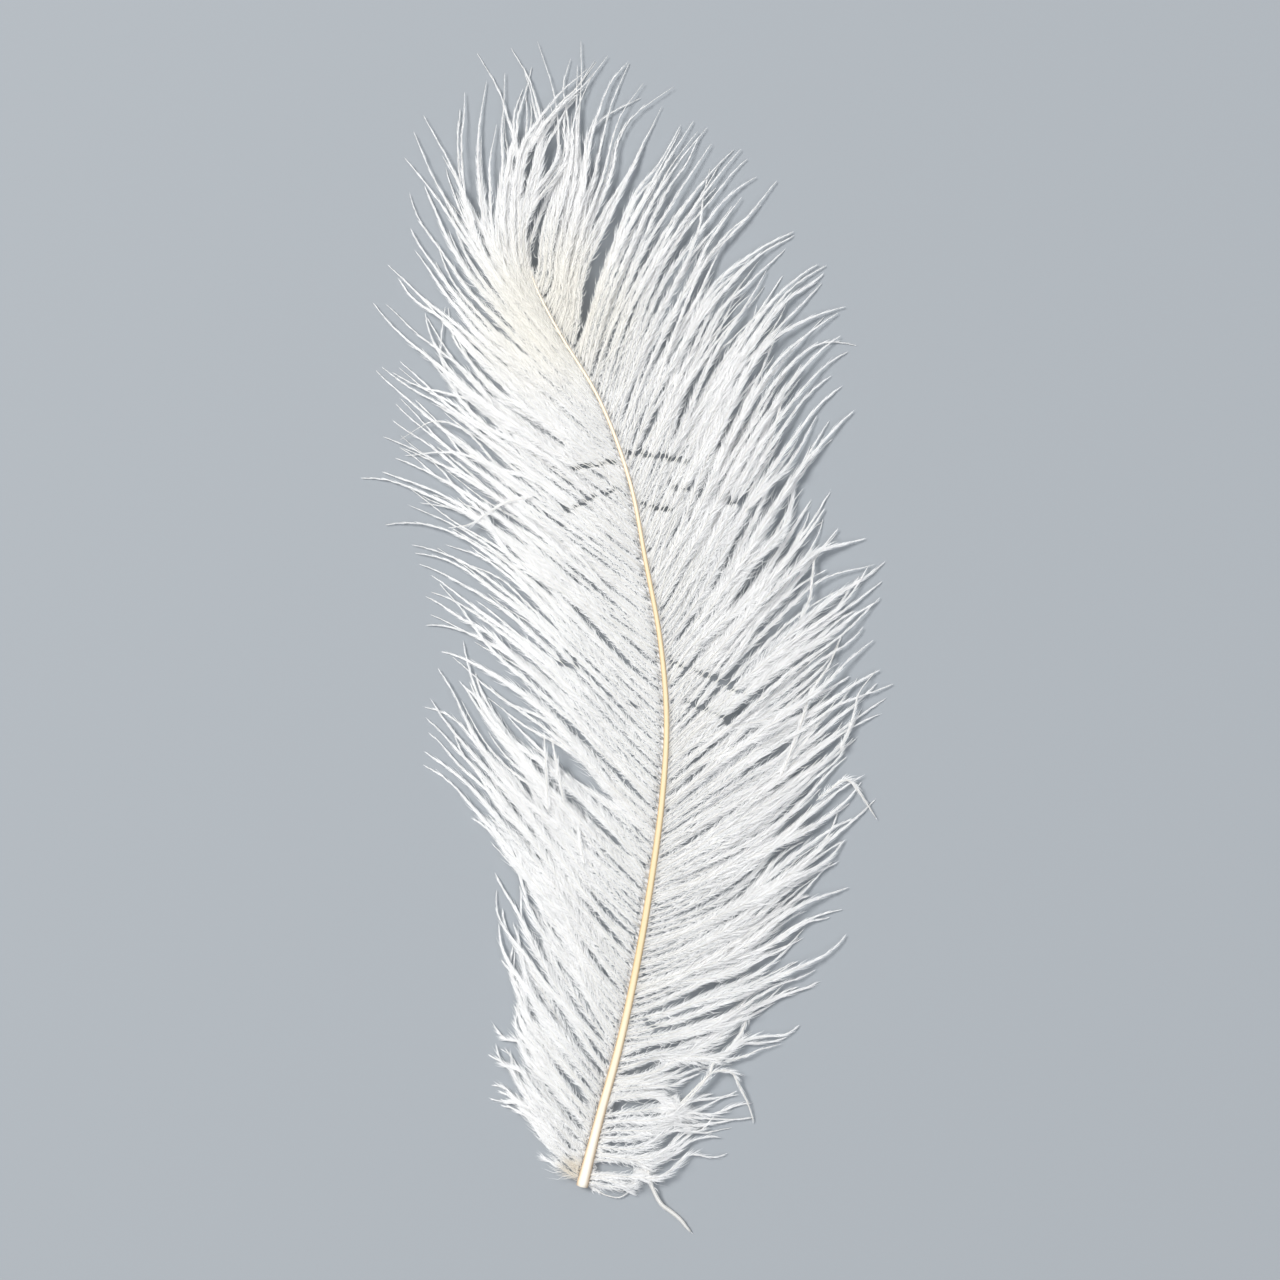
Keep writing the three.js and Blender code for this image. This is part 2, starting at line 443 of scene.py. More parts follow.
# Barbs: two combs that leave the shaft in parallel and gather into strands towards their tips
barbs = {
    "spacing": 1.72,  # along the shaft
    "uneven": 0.32,  # scatter of the roots along it
    "beyond": (0.6, 0.4),  # how far the roots go on past those of the first and last strand
    "rootOut": 0.44,  # part of the shaft's width by which the roots lie out from its middle
    "rootUp": 0.10,  # and above it
    "rootDiameter": 0.42,
    "tipDiameter": 0.10,
    "taper": 0.8,  # power with which they get thinner
    "rodUv": 0.3,  # height of the rod in a barb's strip of the UV map
    "steps": 24,
    "leadFromRoot": 0.35,  # part of the reach over which a barb keeps its leaving direction
    "leadToTip": 0.30,
    "gatherOver": 0.38,  # part of the length over which the barbs of a strand run together
    "gather": 0.80,  # how closely they do
    "gathers": (0.85, 1.05),  # least and most, times that
    "loosen": 0.60,  # part by which they come apart again at their tips
    "tipFrom": 0.6,  # part of the length from which they do
    "strandWidth": 1.35,
    "widestAt": 0.6,  # part of its length at which a strand is widest
    "spreadGain": 2.6,  # brings the spread there close to the width
    "jostle": 0.2,  # how far a barb may be off its place, with the strands 1 apart
    "shorter": 0.26,  # part by which the shortest barb of a strand falls behind its longest
    "behind": (0.1, 0.9),  # least and most of it that a barb falls behind by chance
    "sway": 1.15,  # sideways wander of a strand
    "swayGrowth": 1.2,  # power with which it grows towards the tip
    "swayEase": 0.6,  # part by which it is less at the tip again
    "wander": 0.42,  # sideways wander of one barb
    "wanderGrowth": 1.3,  # and the power for that
    "fall": 1.05,  # power of the fall to the table; 1 is straight
    "loft": 3.0,  # how far a strand may rise over it
    "loftPowers": (0.8, 1.2),  # put the top of that rise at 0.4 of the length, and narrow it
    "ownLoft": 0.25,  # part of the loft that each barb has to itself
    "tipHeight": 0.7,
    "tipHeights": (0.5, 2.2),  # lowest and highest tips, times that height
    "turn": 6.0,  # degrees by which a strand's tip differs from its neighbours
    "split": 1.2,  # how far the tips of a strand's shorter barbs lie aside
    "leavingScatter": 1.8,  # degrees
    "strandWaves": (45, 90),  # shortest and longest sideways waves of a strand
    "barbWaves": (24, 48),  # and of one barb
    "strandLength": 80.0,  # typical, for those waves
    "single": 0.28,  # part of the barbs that stay out of the strands and cross them
    "singleFluff": 0.8,  # times the fluffiness of the others
    "singleTurn": (8, 34),  # degrees by which their tips turn to either side
    "tipScatter": 0.7,
    "singleScatter": 3.5,  # how many times as much more it is for the tips of the single ones
    "pieces": {"lower": (-200, -62), "middle": (-62, 32), "upper": (32, 200)},  # by height of the root
}
barbules = {
    # The real ones are 0.02 mm thick and 0.05 mm apart; they are drawn coarser so that they show
    "spacing": 0.198,  # along the barb, on each side
    "fewest": 4,  # on a side
    "placed": (0.1, 0.9),  # where each stands in its own share of the barb
    "width": 0.19,
    # part of the barb's length, length of the barbule, angle to the barb
    "growth": [
        (0.00, 2.1, 29),
        (0.05, 2.1, 28),
        (0.12, 2.2, 25.5),
        (0.25, 3.1, 22.0),
        (0.40, 4.1, 16.5),
        (0.55, 4.4, 11.5),
        (0.70, 4.0, 6.6),
        (0.82, 3.4, 3.8),
        (0.92, 2.8, 2.7),
        (1.00, 1.5, 1.8),
    ],
    "start": 0.012,  # part of the barb's length where they start
    "over": 0.975,  # and over which they go on
    "fluffOver": (0.05, 0.30),  # parts of it between which the barb's fluffiness sets in
    "fluffScatter": 0.10,
    "fluffLimits": (0.75, 1.3),  # of that scatter
    "leastLeft": 0.06,  # part of a barbule under which it is left out
    "leastHeight": 0.05,  # over the table, for every point
    "widths": (0.75, 1.25),  # narrowest and widest, times the width
    "baseWidth": 0.8,  # at its root, times its own width
    "narrowing": 0.42,  # part by which they are narrower at the barb's tip
    "bends": (1.18, 0.78),  # directions of their middles and tips, times their angle
    "roll": 23.0,  # degrees by which they leave the barb's plane
    "rollScatter": 0.8,
    "rollGrowth": 0.9,  # part by which they roll further at the barb's tip
    "lowered": 16.0,  # degrees by which they hang lower near the barb's root
    "loweredOver": (0.12, 0.45),  # parts of its length between which that ends
    "twist": 24.0,  # degrees by which their flat side turns away from above
    "droop": 0.25,  # how far a tip may sink
    "tufts": (3.0, 8.0),  # shortest and longest waves in which neighbours lean alike
    "tuftSize": 0.10,  # changes within a wave of their size, angle and roll
    "tuftAngle": 0.14,
    "tuftRoll": 0.5,
    "sizes": (0.75, 1.15),  # shortest and longest, times the length
    "angleScatter": 0.2,
    "uvFrom": (0.36, 0.70),  # where each side's start in a barb's strip of the UV map
    "uvHeight": 0.28,
    # The five points of a barbule in its patch of the UV map, as parts of its length and height
    "uvAlong": (0.0, 0.1, 0.45, 0.55, 1.0),
    "uvUp": (0.0, 0.2, 0.4, 0.6, 1.0),
    "wild": 0.12,  # part of them that stand out further
    "wildAngle": 1.9,
    "wildLength": 1.25,
}

# Where the barbs leave the shaft: (height on the shaft, heading, fluffiness, part of the length
# where they start to gather, unrest of the strands)
leftLeave = [
    (-165, -52, 1.1, 0.20, 1.8),
    (-150, -44, 1.15, 0.20, 3.0),
    (-138, -36, 1.2, 0.14, 3.6),
    (-128, -34, 1.2, 0.14, 3.4),
    (-112, -40, 1.3, 0.18, 2.8),
    (-100, -46, 1.35, 0.28, 1.5),
    (-50, -46, 1.0, 0.28, 1.0),
    (-20, -50, 1.0, 0.26, 1.0),
    (23, -53, 1.0, 0.24, 1.0),
    (59, -50, 0.95, 0.24, 1.0),
    (80, -42, 0.95, 0.26, 1.0),
    (92, -41, 0.9, 0.28, 0.8),
    (106, -32, 0.85, 0.3, 0.6),
    (119, -18, 0.8, 0.3, 0.6),
]
rightLeave = [
    (-165, 115, 1.1, 0.14, 2.0),
    (-150, 108, 1.15, 0.12, 2.6),
    (-137, 96, 1.15, 0.12, 2.6),
    (-125, 88, 1.1, 0.14, 2.2),
    (-112, 74, 1.1, 0.16, 1.8),
    (-101, 76, 1.15, 0.24, 1.3),
    (-92, 77, 1.15, 0.26, 1.1),
    (-81, 72, 1.15, 0.28, 1.0),
    (-65, 61, 1.15, 0.28, 1.0),
    (-51, 53, 1.1, 0.26, 1.0),
    (-42, 48, 1.15, 0.24, 1.0),
    (-27, 41, 1.25, 0.26, 1.0),
    (-14, 40, 1.3, 0.28, 1.0),
    (5, 34, 1.2, 0.26, 1.0),
    (35, 26, 1.05, 0.14, 1.0),
    (52, 14, 0.95, 0.08, 1.0),
    (68, 12, 0.9, 0.08, 1.0),
    (85, 8, 0.9, 0.10, 0.8),
    (100, 0, 0.9, 0.14, 0.6),
    (108, -8, 0.9, 0.14, 0.6),
]

# The strands: (height of the root on the shaft, tip x, tip y, heading of the tip)
leftStrands = [
    (-138, -35, -88, -14),
    (-136, -39, -88.5, -24),
    (-133, -36, -82, -18),
    (-130, -33, -76, -20),
    (-127, -39, -71.5, -24),
    (-122, -37, -66, -26),
    (-118.5, -38.5, -62.8, -52),
    (-115, -36, -59.5, -50),
    (-111.5, -45.5, -55.3, -60),
    (-108, -52, -46.5, -48),
    (-105, -61, -38.5, -48),
    (-102.5, -59, -34, -50),
    (-99.5, -60, -31, -58),
    (-97, -60, -25, -52),
    (-94.5, -60, -20.5, -60),
    (-92, -58, -19, -42),
    (-89, -56, -9, -38),
    (-85, -48, -15, -36),
    (-81, -45, -12, -24),
    (-77, -50, -1, -22),
    (-72, -46.5, -15.5, -24),
    (-67.5, -35, -24.5, -40),
    (-64.5, -28.5, -33, -52),
    (-61.5, -21, -38.5, -72),
    (-58.5, -27, -22.5, -48),
    (-55.5, -56, -3.5, -62),
    (-52, -60, 4, -82),
    (-48, -58.6, 6.8, -78),
    (-44, -58.6, 13, -70),
    (-41, -58.6, 17.9, -62),
    (-37, -62, 22.4, -74),
    (-33, -63.5, 25.5, -80),
    (-29, -64, 28.4, -91),
    (-25, -72.5, 34, -98),
    (-21, -65.6, 39.5, -72),
    (-17, -61, 41.5, -76),
    (-13, -80, 48, -82),
    (-9, -73.4, 49, -74),
    (-5, -69, 54.8, -62),
    (-1, -66, 56, -68),
    (3, -73.5, 61, -62),
    (8, -70, 65.3, -50),
    (13, -68.5, 71.3, -46),
    (18, -75, 80.3, -50),
    (23, -73.5, 81.2, -48),
    (28, -68.5, 83, -44),
    (32, -60, 84, -46),
    (36, -77, 100.4, -48),
    (40, -60, 97, -14),
    (43, -67, 108, -34),
    (47, -72, 111.8, -46),
    (52, -57, 112, -30),
    (55, -65.5, 123, -30),
    (58, -57, 118, -22),
    (62, -66, 132.8, -26),
    (66, -53, 131, -10),
    (70, -67.6, 145.7, -36),
    (74, -64, 152, -24),
    (78, -54, 141, -16),
    (82, -61, 157, -24),
]
rightStrands = [
    (-121, 44, -111, 62),
    (-119.5, 47, -105, 60),
    (-117.8, 49.5, -97.5, 58),
    (-116, 51.5, -91, 50),
    (-114, 65.5, -89.5, 54),
    (-111, 64, -81.5, 74),
    (-108, 66, -75, 78),
    (-104, 61.5, -68, 60),
    (-101, 65, -61, 50),
    (-98, 62, -60, 46),
    (-95, 69, -55, 64),
    (-92, 75, -49.5, 62),
    (-89, 63, -53, 30),
    (-86, 71, -41.5, 62),
    (-83, 66, -45, 60),
    (-80, 66, -36, 40),
    (-77, 63, -40, 46),
    (-74, 69, -31, 44),
    (-71, 64, -33, 42),
    (-68, 75.5, -23.5, 50),
    (-65, 78, -19, 54),
    (-62, 70, -19, 38),
    (-60, 68, -13, 34),
    (-57, 80, -14.5, 82),
    (-54, 75, -10, 62),
    (-51, 73, -1, 44),
    (-47, 64, -2, 22),
    (-43, 76, 11.5, 44),
    (-40, 72.5, 13.5, 52),
    (-37, 77, 16.5, 62),
    (-34, 77, 22.5, 52),
    (-31, 73.5, 22.5, 70),
    (-28, 71, 30, 74),
    (-26, 63.5, 31, 34),
    (-24, 62, 38.5, 46),
    (-22, 58.5, 38, 34),
    (-20, 55, 40, 40),
    (-17, 57, 47, 36),
    (-14, 61.5, 59, 44),
    (-11, 69, 67.5, 52),
    (-8, 60, 65, 38),
    (-5, 64.5, 74.5, 60),
    (-2, 61, 78.5, 48),
    (1, 52.5, 81.5, 36),
    (3, 67, 86.5, 67),
    (6, 69, 89, 93),
    (9, 64, 90, 58),
    (12, 45, 90, 34),
    (15, 65, 98.5, 66),
    (18, 62, 96, 46),
    (21, 42.5, 93, 42),
    (25, 58, 106, 58),
    (28, 60, 112, 42),
    (31, 58, 112, 56),
    (35, 45.5, 108.5, 34),
    (39, 39, 113, 46),
    (43, 46, 117.5, 54),
    (46, 48, 116.5, 46),
    (50, 51, 121.5, 66),
    (54, 30, 121, 16),
    (56, 40.5, 129.5, 46),
    (59, 46.5, 137.5, 42),
    (62, 30.5, 129.5, 42),
    (64, 39, 139, 54),
    (66, 36.5, 144, 38),
    (68, 34, 147, 38),
    (70, 32.5, 147, 42),
    (72, 25, 140, 44),
    (74, 25, 148.5, 42),
    (76, 18, 138, 36),
    (78, 24, 154, 42),
    (80, 20.5, 155.5, 18),
    (82, 16, 153, 30),
]

# Strands whose way is given point by point. Near the quill and round the shaft's tip they bend more
# than once, and along the rest of the shaft they cross the gathered ones or close a gap:
# (height of the root on the shaft, number of barbs, points from near the root to the tip)
leftRouted = [
    (-162.5, 1, [(-16.5, -161.5), (-19.5, -159.5), (-22, -158), (-24.5, -156.8)]),
    (-160.5, 3, [(-17, -158), (-21, -154), (-24.5, -150), (-27.5, -146), (-30, -142.5), (-33, -140.3),
                 (-36, -139.3), (-40, -138.3)]),
    (-158, 3, [(-17, -154.5), (-21, -150.5), (-24.5, -147), (-28, -143), (-31, -141), (-34, -139.3),
               (-37, -137.5), (-39.8, -135.3)]),
    (-155, 3, [(-16, -151.5), (-20, -147), (-24, -143), (-27.5, -139), (-31, -134.5), (-34, -130.5),
               (-36.5, -127.5), (-40, -125.5)]),
    (-151.5, 3, [(-15, -148), (-19, -144), (-23, -139.5), (-27, -135), (-30.5, -131), (-33.5, -128.5),
                 (-36.5, -126.8), (-38.5, -123.5)]),
    (-148, 3, [(-14, -144), (-18.5, -139), (-23, -133.5), (-27, -129), (-30, -125), (-32.5, -121.5),
               (-35, -119.5), (-39.3, -116.6)]),
    (-145, 3, [(-14, -140), (-19, -134), (-23.5, -129), (-27, -124.5), (-30, -120), (-32, -115.5),
               (-32.5, -112), (-33, -107)]),
    (-141.5, 3, [(-13, -135), (-18, -129), (-22.5, -124), (-26.5, -119), (-29.5, -114), (-31.5, -109),
                 (-33, -104), (-33.5, -98), (-35, -92)]),
    (-57, 2, [(-4, -45), (-10, -38), (-17, -30), (-24, -22.5), (-32, -16.5), (-40, -11.5), (-48, -7.5),
              (-55, -5)]),
    (-50, 1, [(-6, -36), (-14, -27), (-22, -20), (-30, -13), (-38, -6), (-45, 2), (-50, 9), (-56, 16)]),
    (-72, 1, [(-2, -60), (-10, -51), (-19, -43), (-27, -36.5), (-36, -30), (-44, -22), (-50, -14)]),
    (-46, 1, [(-6, -33), (-16, -22), (-26, -12.5), (-34, -5.5), (-41, 1), (-48, 5), (-54, 8.5), (-60, 12)]),
    (-2, 1, [(1.5, 5), (-7, 11.5), (-16, 19.3), (-24, 26), (-32, 32), (-40, 36.5), (-49, 40),
             (-58, 43)]),
    (-4, 1, [(-6, 4), (-20, 14), (-31, 21), (-38, 28.5), (-43, 37), (-50, 43.5), (-57, 52),
             (-68, 60.8)]),
    (12, 1, [(-6, 20), (-18, 29.5), (-31, 38.3), (-38, 45.3), (-48, 53.3), (-56.5, 64.3), (-63, 71.3)]),
    (20, 1, [(-8, 31.5), (-18, 40.5), (-28, 47.5), (-38, 50.3), (-48, 54.5), (-57, 55.6), (-66, 55.3)]),
    (24, 1, [(-6, 35), (-18, 45.3), (-28, 53.5), (-35.5, 60.5), (-40, 69), (-46.5, 78.5), (-55, 85.5),
             (-63, 90.8), (-72, 100.3)]),
    (28, 1, [(-5, 38), (-14, 46.5), (-24, 54), (-34, 59.3), (-45, 64.3), (-52, 70.3), (-60, 74.5),
             (-68.5, 80.8)]),
    (30, 1, [(-4, 39), (-16, 49), (-28, 56.5), (-38, 60.3), (-46, 67.3), (-52, 75.3), (-56, 86),
             (-55, 99.3)]),
    (33, 1, [(-8, 52), (-20, 62), (-34, 75.5), (-44, 84.3), (-53.9, 94.4), (-62.9, 101.3),
             (-68, 107.3)]),
    (44.5, 2, [(-6, 49), (-12, 52), (-18, 55.4), (-26, 60.4), (-34, 66.3), (-41, 71.5), (-48, 78),
               (-54, 86), (-60, 96)]),
    (46, 2, [(-5, 51.5), (-13, 56.5), (-22, 62.5), (-30, 67.5), (-37, 72), (-43, 77.5), (-48, 83.5),
             (-52, 90), (-54, 99)]),
    (47, 1, [(-6, 51.5), (-14, 54.5), (-22, 58), (-30, 63), (-38, 68), (-46, 71), (-54, 73), (-62, 75.5),
             (-70, 80)]),
    (56, 1, [(-12, 64.5), (-22, 72.5), (-32, 80.2), (-40, 86.6), (-46, 92.6), (-52, 100.2),
             (-57.5, 107.8), (-63.5, 116)]),
    (70, 1, [(-16, 79), (-26, 87.5), (-36, 96.5), (-44, 105), (-50, 113.5), (-55, 122), (-58, 129),
             (-60.3, 135)]),
    (84, 2, [(-27, 96), (-35, 103), (-41, 111), (-45, 119), (-47, 126), (-49, 133), (-50, 148),
             (-49.5, 156), (-49, 163.7)]),
    (87.5, 2, [(-31, 102), (-37, 109), (-41, 118), (-43, 128), (-44, 138), (-44, 148), (-43.5, 158),
               (-42, 167)]),
    (89.5, 1, [(-29, 100), (-34.5, 107), (-38.5, 115), (-40.5, 124), (-41, 132), (-41, 140),
               (-40.3, 147), (-39.5, 154)]),
    (91, 2, [(-27, 98), (-32, 104), (-36, 111), (-38, 119), (-38.5, 127), (-38, 135), (-37.5, 143),
             (-38, 152), (-37.5, 160), (-37, 170)]),
    (94, 2, [(-29, 101), (-33, 108), (-35.5, 116), (-36.5, 125), (-36, 135), (-35, 143), (-33.5, 150),
             (-33, 157), (-31.5, 163), (-29, 172)]),
    (97, 2, [(-29, 103), (-32.5, 110), (-34, 118), (-34, 127), (-33, 136), (-32.5, 142), (-34, 149),
             (-36, 155), (-39, 165), (-45, 176)]),
    (100, 3, [(-30, 106), (-32.5, 113), (-33, 121), (-33, 130), (-32.5, 138), (-30.5, 147), (-26.5, 153.5),
              (-22, 158.5), (-17, 163.5), (-12, 168), (-6, 175.5)]),
    (103, 3, [(-30, 109), (-31.5, 117), (-31, 125), (-29, 133), (-27, 140), (-25.5, 147), (-22.5, 153),
              (-20, 158), (-16, 163), (-9, 173.5)]),
    (106, 2, [(-30, 112), (-31, 120), (-30, 127), (-28, 134), (-27, 141), (-26, 148), (-26, 154),
              (-27.5, 160), (-30, 168.5), (-35, 177.5)]),
    (106.5, 1, [(-29, 110.5), (-29.3, 116.5), (-27.6, 122.5), (-25.3, 128.5), (-23, 133.5),
                (-20, 138.5), (-17.5, 143.5), (-16.5, 150)]),
    (109, 2, [(-30.5, 115), (-31, 123), (-29, 130), (-26, 135), (-23, 139), (-20.5, 144), (-20, 150),
              (-20.5, 157), (-22, 166), (-26.5, 179.5)]),
    (112, 1, [(-31, 118), (-30.5, 124), (-28, 129), (-24.5, 133.5), (-21, 138), (-18.5, 143), (-17.5, 150),
              (-18, 158), (-19, 166), (-17, 174)]),
    (115, 2, [(-31.5, 120), (-32, 128), (-32, 136), (-31, 144), (-30, 150), (-29.5, 157), (-30, 163)]),
    (118.5, 2, [(-32, 124), (-33, 131), (-34, 139), (-35.5, 147), (-36.5, 157)]),
]
rightRouted = [
    (-163.5, 1, [(-8, -164.3), (-4, -165.2), (0, -166), (2, -166.3)]),
    (-162, 2, [(-8, -162), (-4, -163), (0, -164), (2, -163.5), (3, -161.5), (5, -159.5)]),
    (-160.8, 1, [(-7, -161.2), (-3, -161.5), (2, -162), (6, -162.5), (10, -161.5), (15, -158.5),
                 (19, -156.5), (24, -156), (29.5, -154.6)]),
    (-156.5, 1, [(-6, -157), (-2, -157), (3, -157.7), (6, -158.5), (10, -157), (14, -155),
                 (18, -152.5), (23, -151), (27, -150)]),
    (-154.7, 2, [(-6, -155.5), (-1, -156), (4, -156.5), (8, -155.5), (12, -153.5), (16, -151),
                 (20, -149.5), (24, -149), (31, -148.7)]),
    (-152.7, 1, [(-6, -153), (-1, -153.5), (4, -153), (8, -151.5), (12, -149), (17, -147.5),
                 (22, -147.3), (26, -145.5)]),
    (-150.8, 2, [(-5, -150.5), (0, -150.5), (5, -149.5), (9, -147.5), (13, -145.5), (18, -146.5),
                 (23, -146), (30, -145.2), (38, -144.8)]),
    (-148.7, 1, [(-4, -148), (1, -148), (6, -147.8), (10, -146.5), (14, -144.5), (18, -142),
                 (25, -140.3), (33, -138.3)]),
    (-146.8, 2, [(-4, -145.5), (1, -145), (6, -145.3), (11, -144.5), (15, -143), (19, -141),
                 (25, -138.8), (32.5, -136)]),
    (-143.3, 1, [(-3, -143), (2, -142), (8, -141.3), (12, -141.5), (17, -142.5), (25, -142.8),
                 (31, -141.5), (36.5, -141)]),
    (-139.2, 3, [(-3, -137.9), (1, -137.3), (6, -137), (10, -137.8), (13, -140), (15, -142.5),
                 (18, -144), (24, -144.5), (32, -145), (38, -145)]),
    (-136.2, 1, [(-1, -135.4), (4, -134.8), (9, -134.3), (13, -134.6), (17, -133.4), (21, -132)]),
    (-134.5, 2, [(0, -133.8), (5, -133.2), (10, -132), (15, -131.5), (20, -130), (24, -129.5)]),
    (-132.5, 2, [(2, -132), (8, -130.5), (13, -128), (18, -125), (23, -122.5), (27, -119.5),
                 (31, -115.5), (36, -112.5), (42, -110), (48, -107.5), (53, -105.5), (56, -104)]),
    (-129.5, 2, [(3, -128), (9, -126), (14, -126), (20, -126.3), (26, -126), (30, -124.5),
                 (33, -122.5), (38, -121.3), (44, -120.5), (48, -119.5), (51, -117.5)]),
    (-126.8, 1, [(3, -126), (9, -124.5), (15, -123.5), (21, -121), (25, -119.5), (30, -117.5)]),
    (-124.5, 2, [(4, -122.5), (10, -121), (16, -119.5), (22, -117.5), (28, -114.5), (34, -111),
                 (40, -107.5), (46, -104), (51, -102), (56, -100)]),
    (-119, 1, [(10, -116.5), (20, -113), (28, -110), (36, -107), (44, -102), (51, -98)]),
    (-108, 1, [(8, -104.8), (16, -103.2), (24, -102.2), (31, -101), (37, -98.6), (43, -95.5),
               (48, -92.5), (53, -88.5)]),
    (-106, 1, [(12, -103), (22, -100), (32, -96.5), (41, -93), (49, -89), (55, -86), (60, -84)]),
    (-105, 2, [(14, -101), (26, -97), (37, -91), (45, -84.8), (52, -80), (58, -77.5), (66, -75.2)]),
    (-99, 1, [(15, -95.3), (27, -90.8), (37, -85.3), (44, -79.6), (50, -74.6), (56, -71), (62.5, -68.3)]),
    (-93, 1, [(16, -89), (27, -83.5), (38, -78.5), (47, -74), (54, -70.5), (60, -67), (65, -62)]),
    (-78, 2, [(18, -74), (28, -69.5), (38, -65), (47, -61), (54, -57.5), (60, -53.5), (66, -48.5),
              (70, -44)]),
    (-72, 1, [(18, -68.3), (27, -64.3), (35, -60.2), (43, -54.6), (50, -48.6), (57, -42),
              (63, -36.5), (68, -31)]),
    (-69.5, 2, [(18, -64.5), (27, -58.5), (36, -52.5), (45, -47), (52, -42), (59, -37), (65, -30),
                (70, -22)]),
    (-63.5, 1, [(18, -56), (28, -49), (38, -43), (47, -37), (55, -31), (62, -25.5), (68, -21),
                (75, -14)]),
    (-52, 1, [(20, -43.5), (29, -36.5), (38, -30), (47, -23.5), (55, -17.5), (61, -12.3), (67, -7),
              (73.5, -1.2)]),
    (-46, 1, [(21, -38.5), (31, -33.5), (41, -29), (47, -26), (53, -23), (58, -19.5), (63, -15)]),
    (-38, 1, [(22, -31), (31, -27), (41, -24.5), (50, -21.5), (58, -17), (66, -12)]),
    (-37, 2, [(20, -29), (28, -22.5), (36, -16.5), (44, -10.5), (51, -5), (58, -0.5), (64, 3.5),
              (68.5, 6.5), (75, 11)]),
    (-33, 2, [(22, -24), (32, -15.5), (42, -7.5), (51, -1), (58, 4), (64, 9), (69, 15), (73, 21)]),
    (-22, 1, [(21, -11), (29, -2), (36, 6), (43, 13.5), (50, 20), (55, 24.4), (60, 26.6), (65, 28),
              (70.8, 29.6)]),
    (-14, 2, [(18, -4), (25, 2), (32, 8), (38, 13), (44, 18), (48, 23), (52, 29), (57, 36), (61, 43)]),
    (-6, 1, [(18, 6), (26, 13), (34, 20), (41, 26), (46, 31), (49, 38), (51, 46), (55, 57)]),
    (2, 1, [(20, 18), (28, 28), (36, 38), (42, 45), (47, 50), (52, 57), (57, 66)]),
    (8, 1, [(13, 24), (18, 37), (22, 48), (27, 60), (32, 71), (37, 81), (43, 88.8), (49, 93),
            (56, 96.2), (65, 99.2)]),
    (14, 1, [(12, 30), (17, 42), (21, 53), (25, 64), (30, 75), (36, 85.5), (42, 94), (48, 100.7),
             (53, 104.8), (58, 109.2)]),
    (20, 1, [(12, 36), (19, 48), (25, 58), (31, 67), (37, 76), (44, 84)]),
    (30, 1, [(9, 44), (13, 55), (18, 66), (22, 76), (27, 86), (32, 94), (37, 102), (42, 110)]),
    (31, 1, [(9, 44), (12, 56), (15, 68), (18.5, 79), (23, 89), (28, 97.5), (34, 104), (40, 110.3),
             (47.5, 116.7)]),
    (40, 2, [(7, 52), (10, 64), (13, 76), (17, 87), (22, 98), (28, 106.7), (35, 113), (42, 117.8),
             (50, 121.6)]),
    (44, 1, [(7, 56), (12, 68), (16.5, 79), (21, 89), (25, 97), (30, 105), (36, 113)]),
    (50, 1, [(5, 62), (9, 75), (13, 87), (17, 98), (21, 107.5), (25.5, 115.5), (31, 122.3),
             (36, 126.3), (40.5, 129.7)]),
    (60, 1, [(4, 74), (9, 86), (15, 99), (20, 109), (24, 117), (29, 125), (34, 132)]),
    (66, 1, [(1, 78), (5, 88), (10, 98), (15, 107), (19, 115), (22, 124), (23, 133), (25, 141)]),
    (76, 1, [(-3, 88), (0, 96), (4, 104), (8, 111), (12, 117), (16, 122.5), (20, 129), (24, 136),
             (28, 143)]),
    (79, 1, [(-6, 92), (-2, 102), (2, 112), (6, 121), (9.5, 129), (13, 136), (18, 143), (22, 150)]),
    (81, 1, [(-7.5, 92), (-4, 101), (0, 111), (3.5, 120), (7, 129), (10.5, 136.5), (14.5, 143),
             (21.5, 152.5)]),
    (84, 2, [(-12, 92), (-9.5, 100), (-7, 108), (-4, 116), (-1, 124), (2, 131), (5, 136), (9, 141),
             (13, 147.5), (16.5, 154)]),
    (86, 1, [(-14.6, 94), (-14, 102), (-12.4, 110), (-9.6, 117), (-6.4, 123.5), (-3.4, 130),
             (-0.3, 136.5), (2.5, 142.5), (5, 149), (8, 154.5)]),
    (88, 2, [(-15.8, 96), (-15.2, 104), (-13.6, 112), (-10.6, 119), (-7.4, 125), (-4.6, 130.5),
             (-1.6, 136.5), (1, 142), (4, 148), (10.5, 160)]),
    (89.5, 1, [(-16, 97), (-15, 106), (-14, 115), (-13, 124), (-12.8, 133), (-12.5, 142), (-12, 149),
               (-9.5, 153.8), (-4, 158.5), (4, 162.5)]),
    (91, 2, [(-17, 98), (-16, 106), (-14, 114), (-12, 121), (-9.5, 128), (-6.5, 135), (-4.5, 142),
             (-3, 149), (2, 157.5), (14, 166)]),
    (92, 1, [(-18, 99), (-17, 107), (-15, 115), (-13, 122), (-10.5, 129), (-8, 136), (-6, 143),
             (-4, 150), (-1, 158), (5, 167)]),
    (93, 2, [(-18.5, 100), (-17.5, 108), (-16, 116), (-14, 123), (-12, 130), (-9.5, 137), (-8, 144),
             (-6, 154), (-4, 162), (1, 173)]),
    (95, 2, [(-19, 102), (-18.5, 110), (-17, 118), (-15, 126), (-13.5, 134), (-12.5, 142), (-11, 151),
             (-8.5, 159), (-5, 167), (0, 173)]),
    (97, 3, [(-20.5, 104), (-20, 112), (-18.5, 120), (-16.5, 128), (-15, 136), (-14.5, 144), (-14.5, 153),
             (-14, 162), (-13.5, 170), (-13.5, 179.5)]),
    (99.5, 2, [(-21.5, 106), (-21, 114), (-19.5, 122), (-17.5, 130), (-16, 138), (-15.5, 146),
               (-15.5, 154), (-15.5, 162), (-15, 172)]),
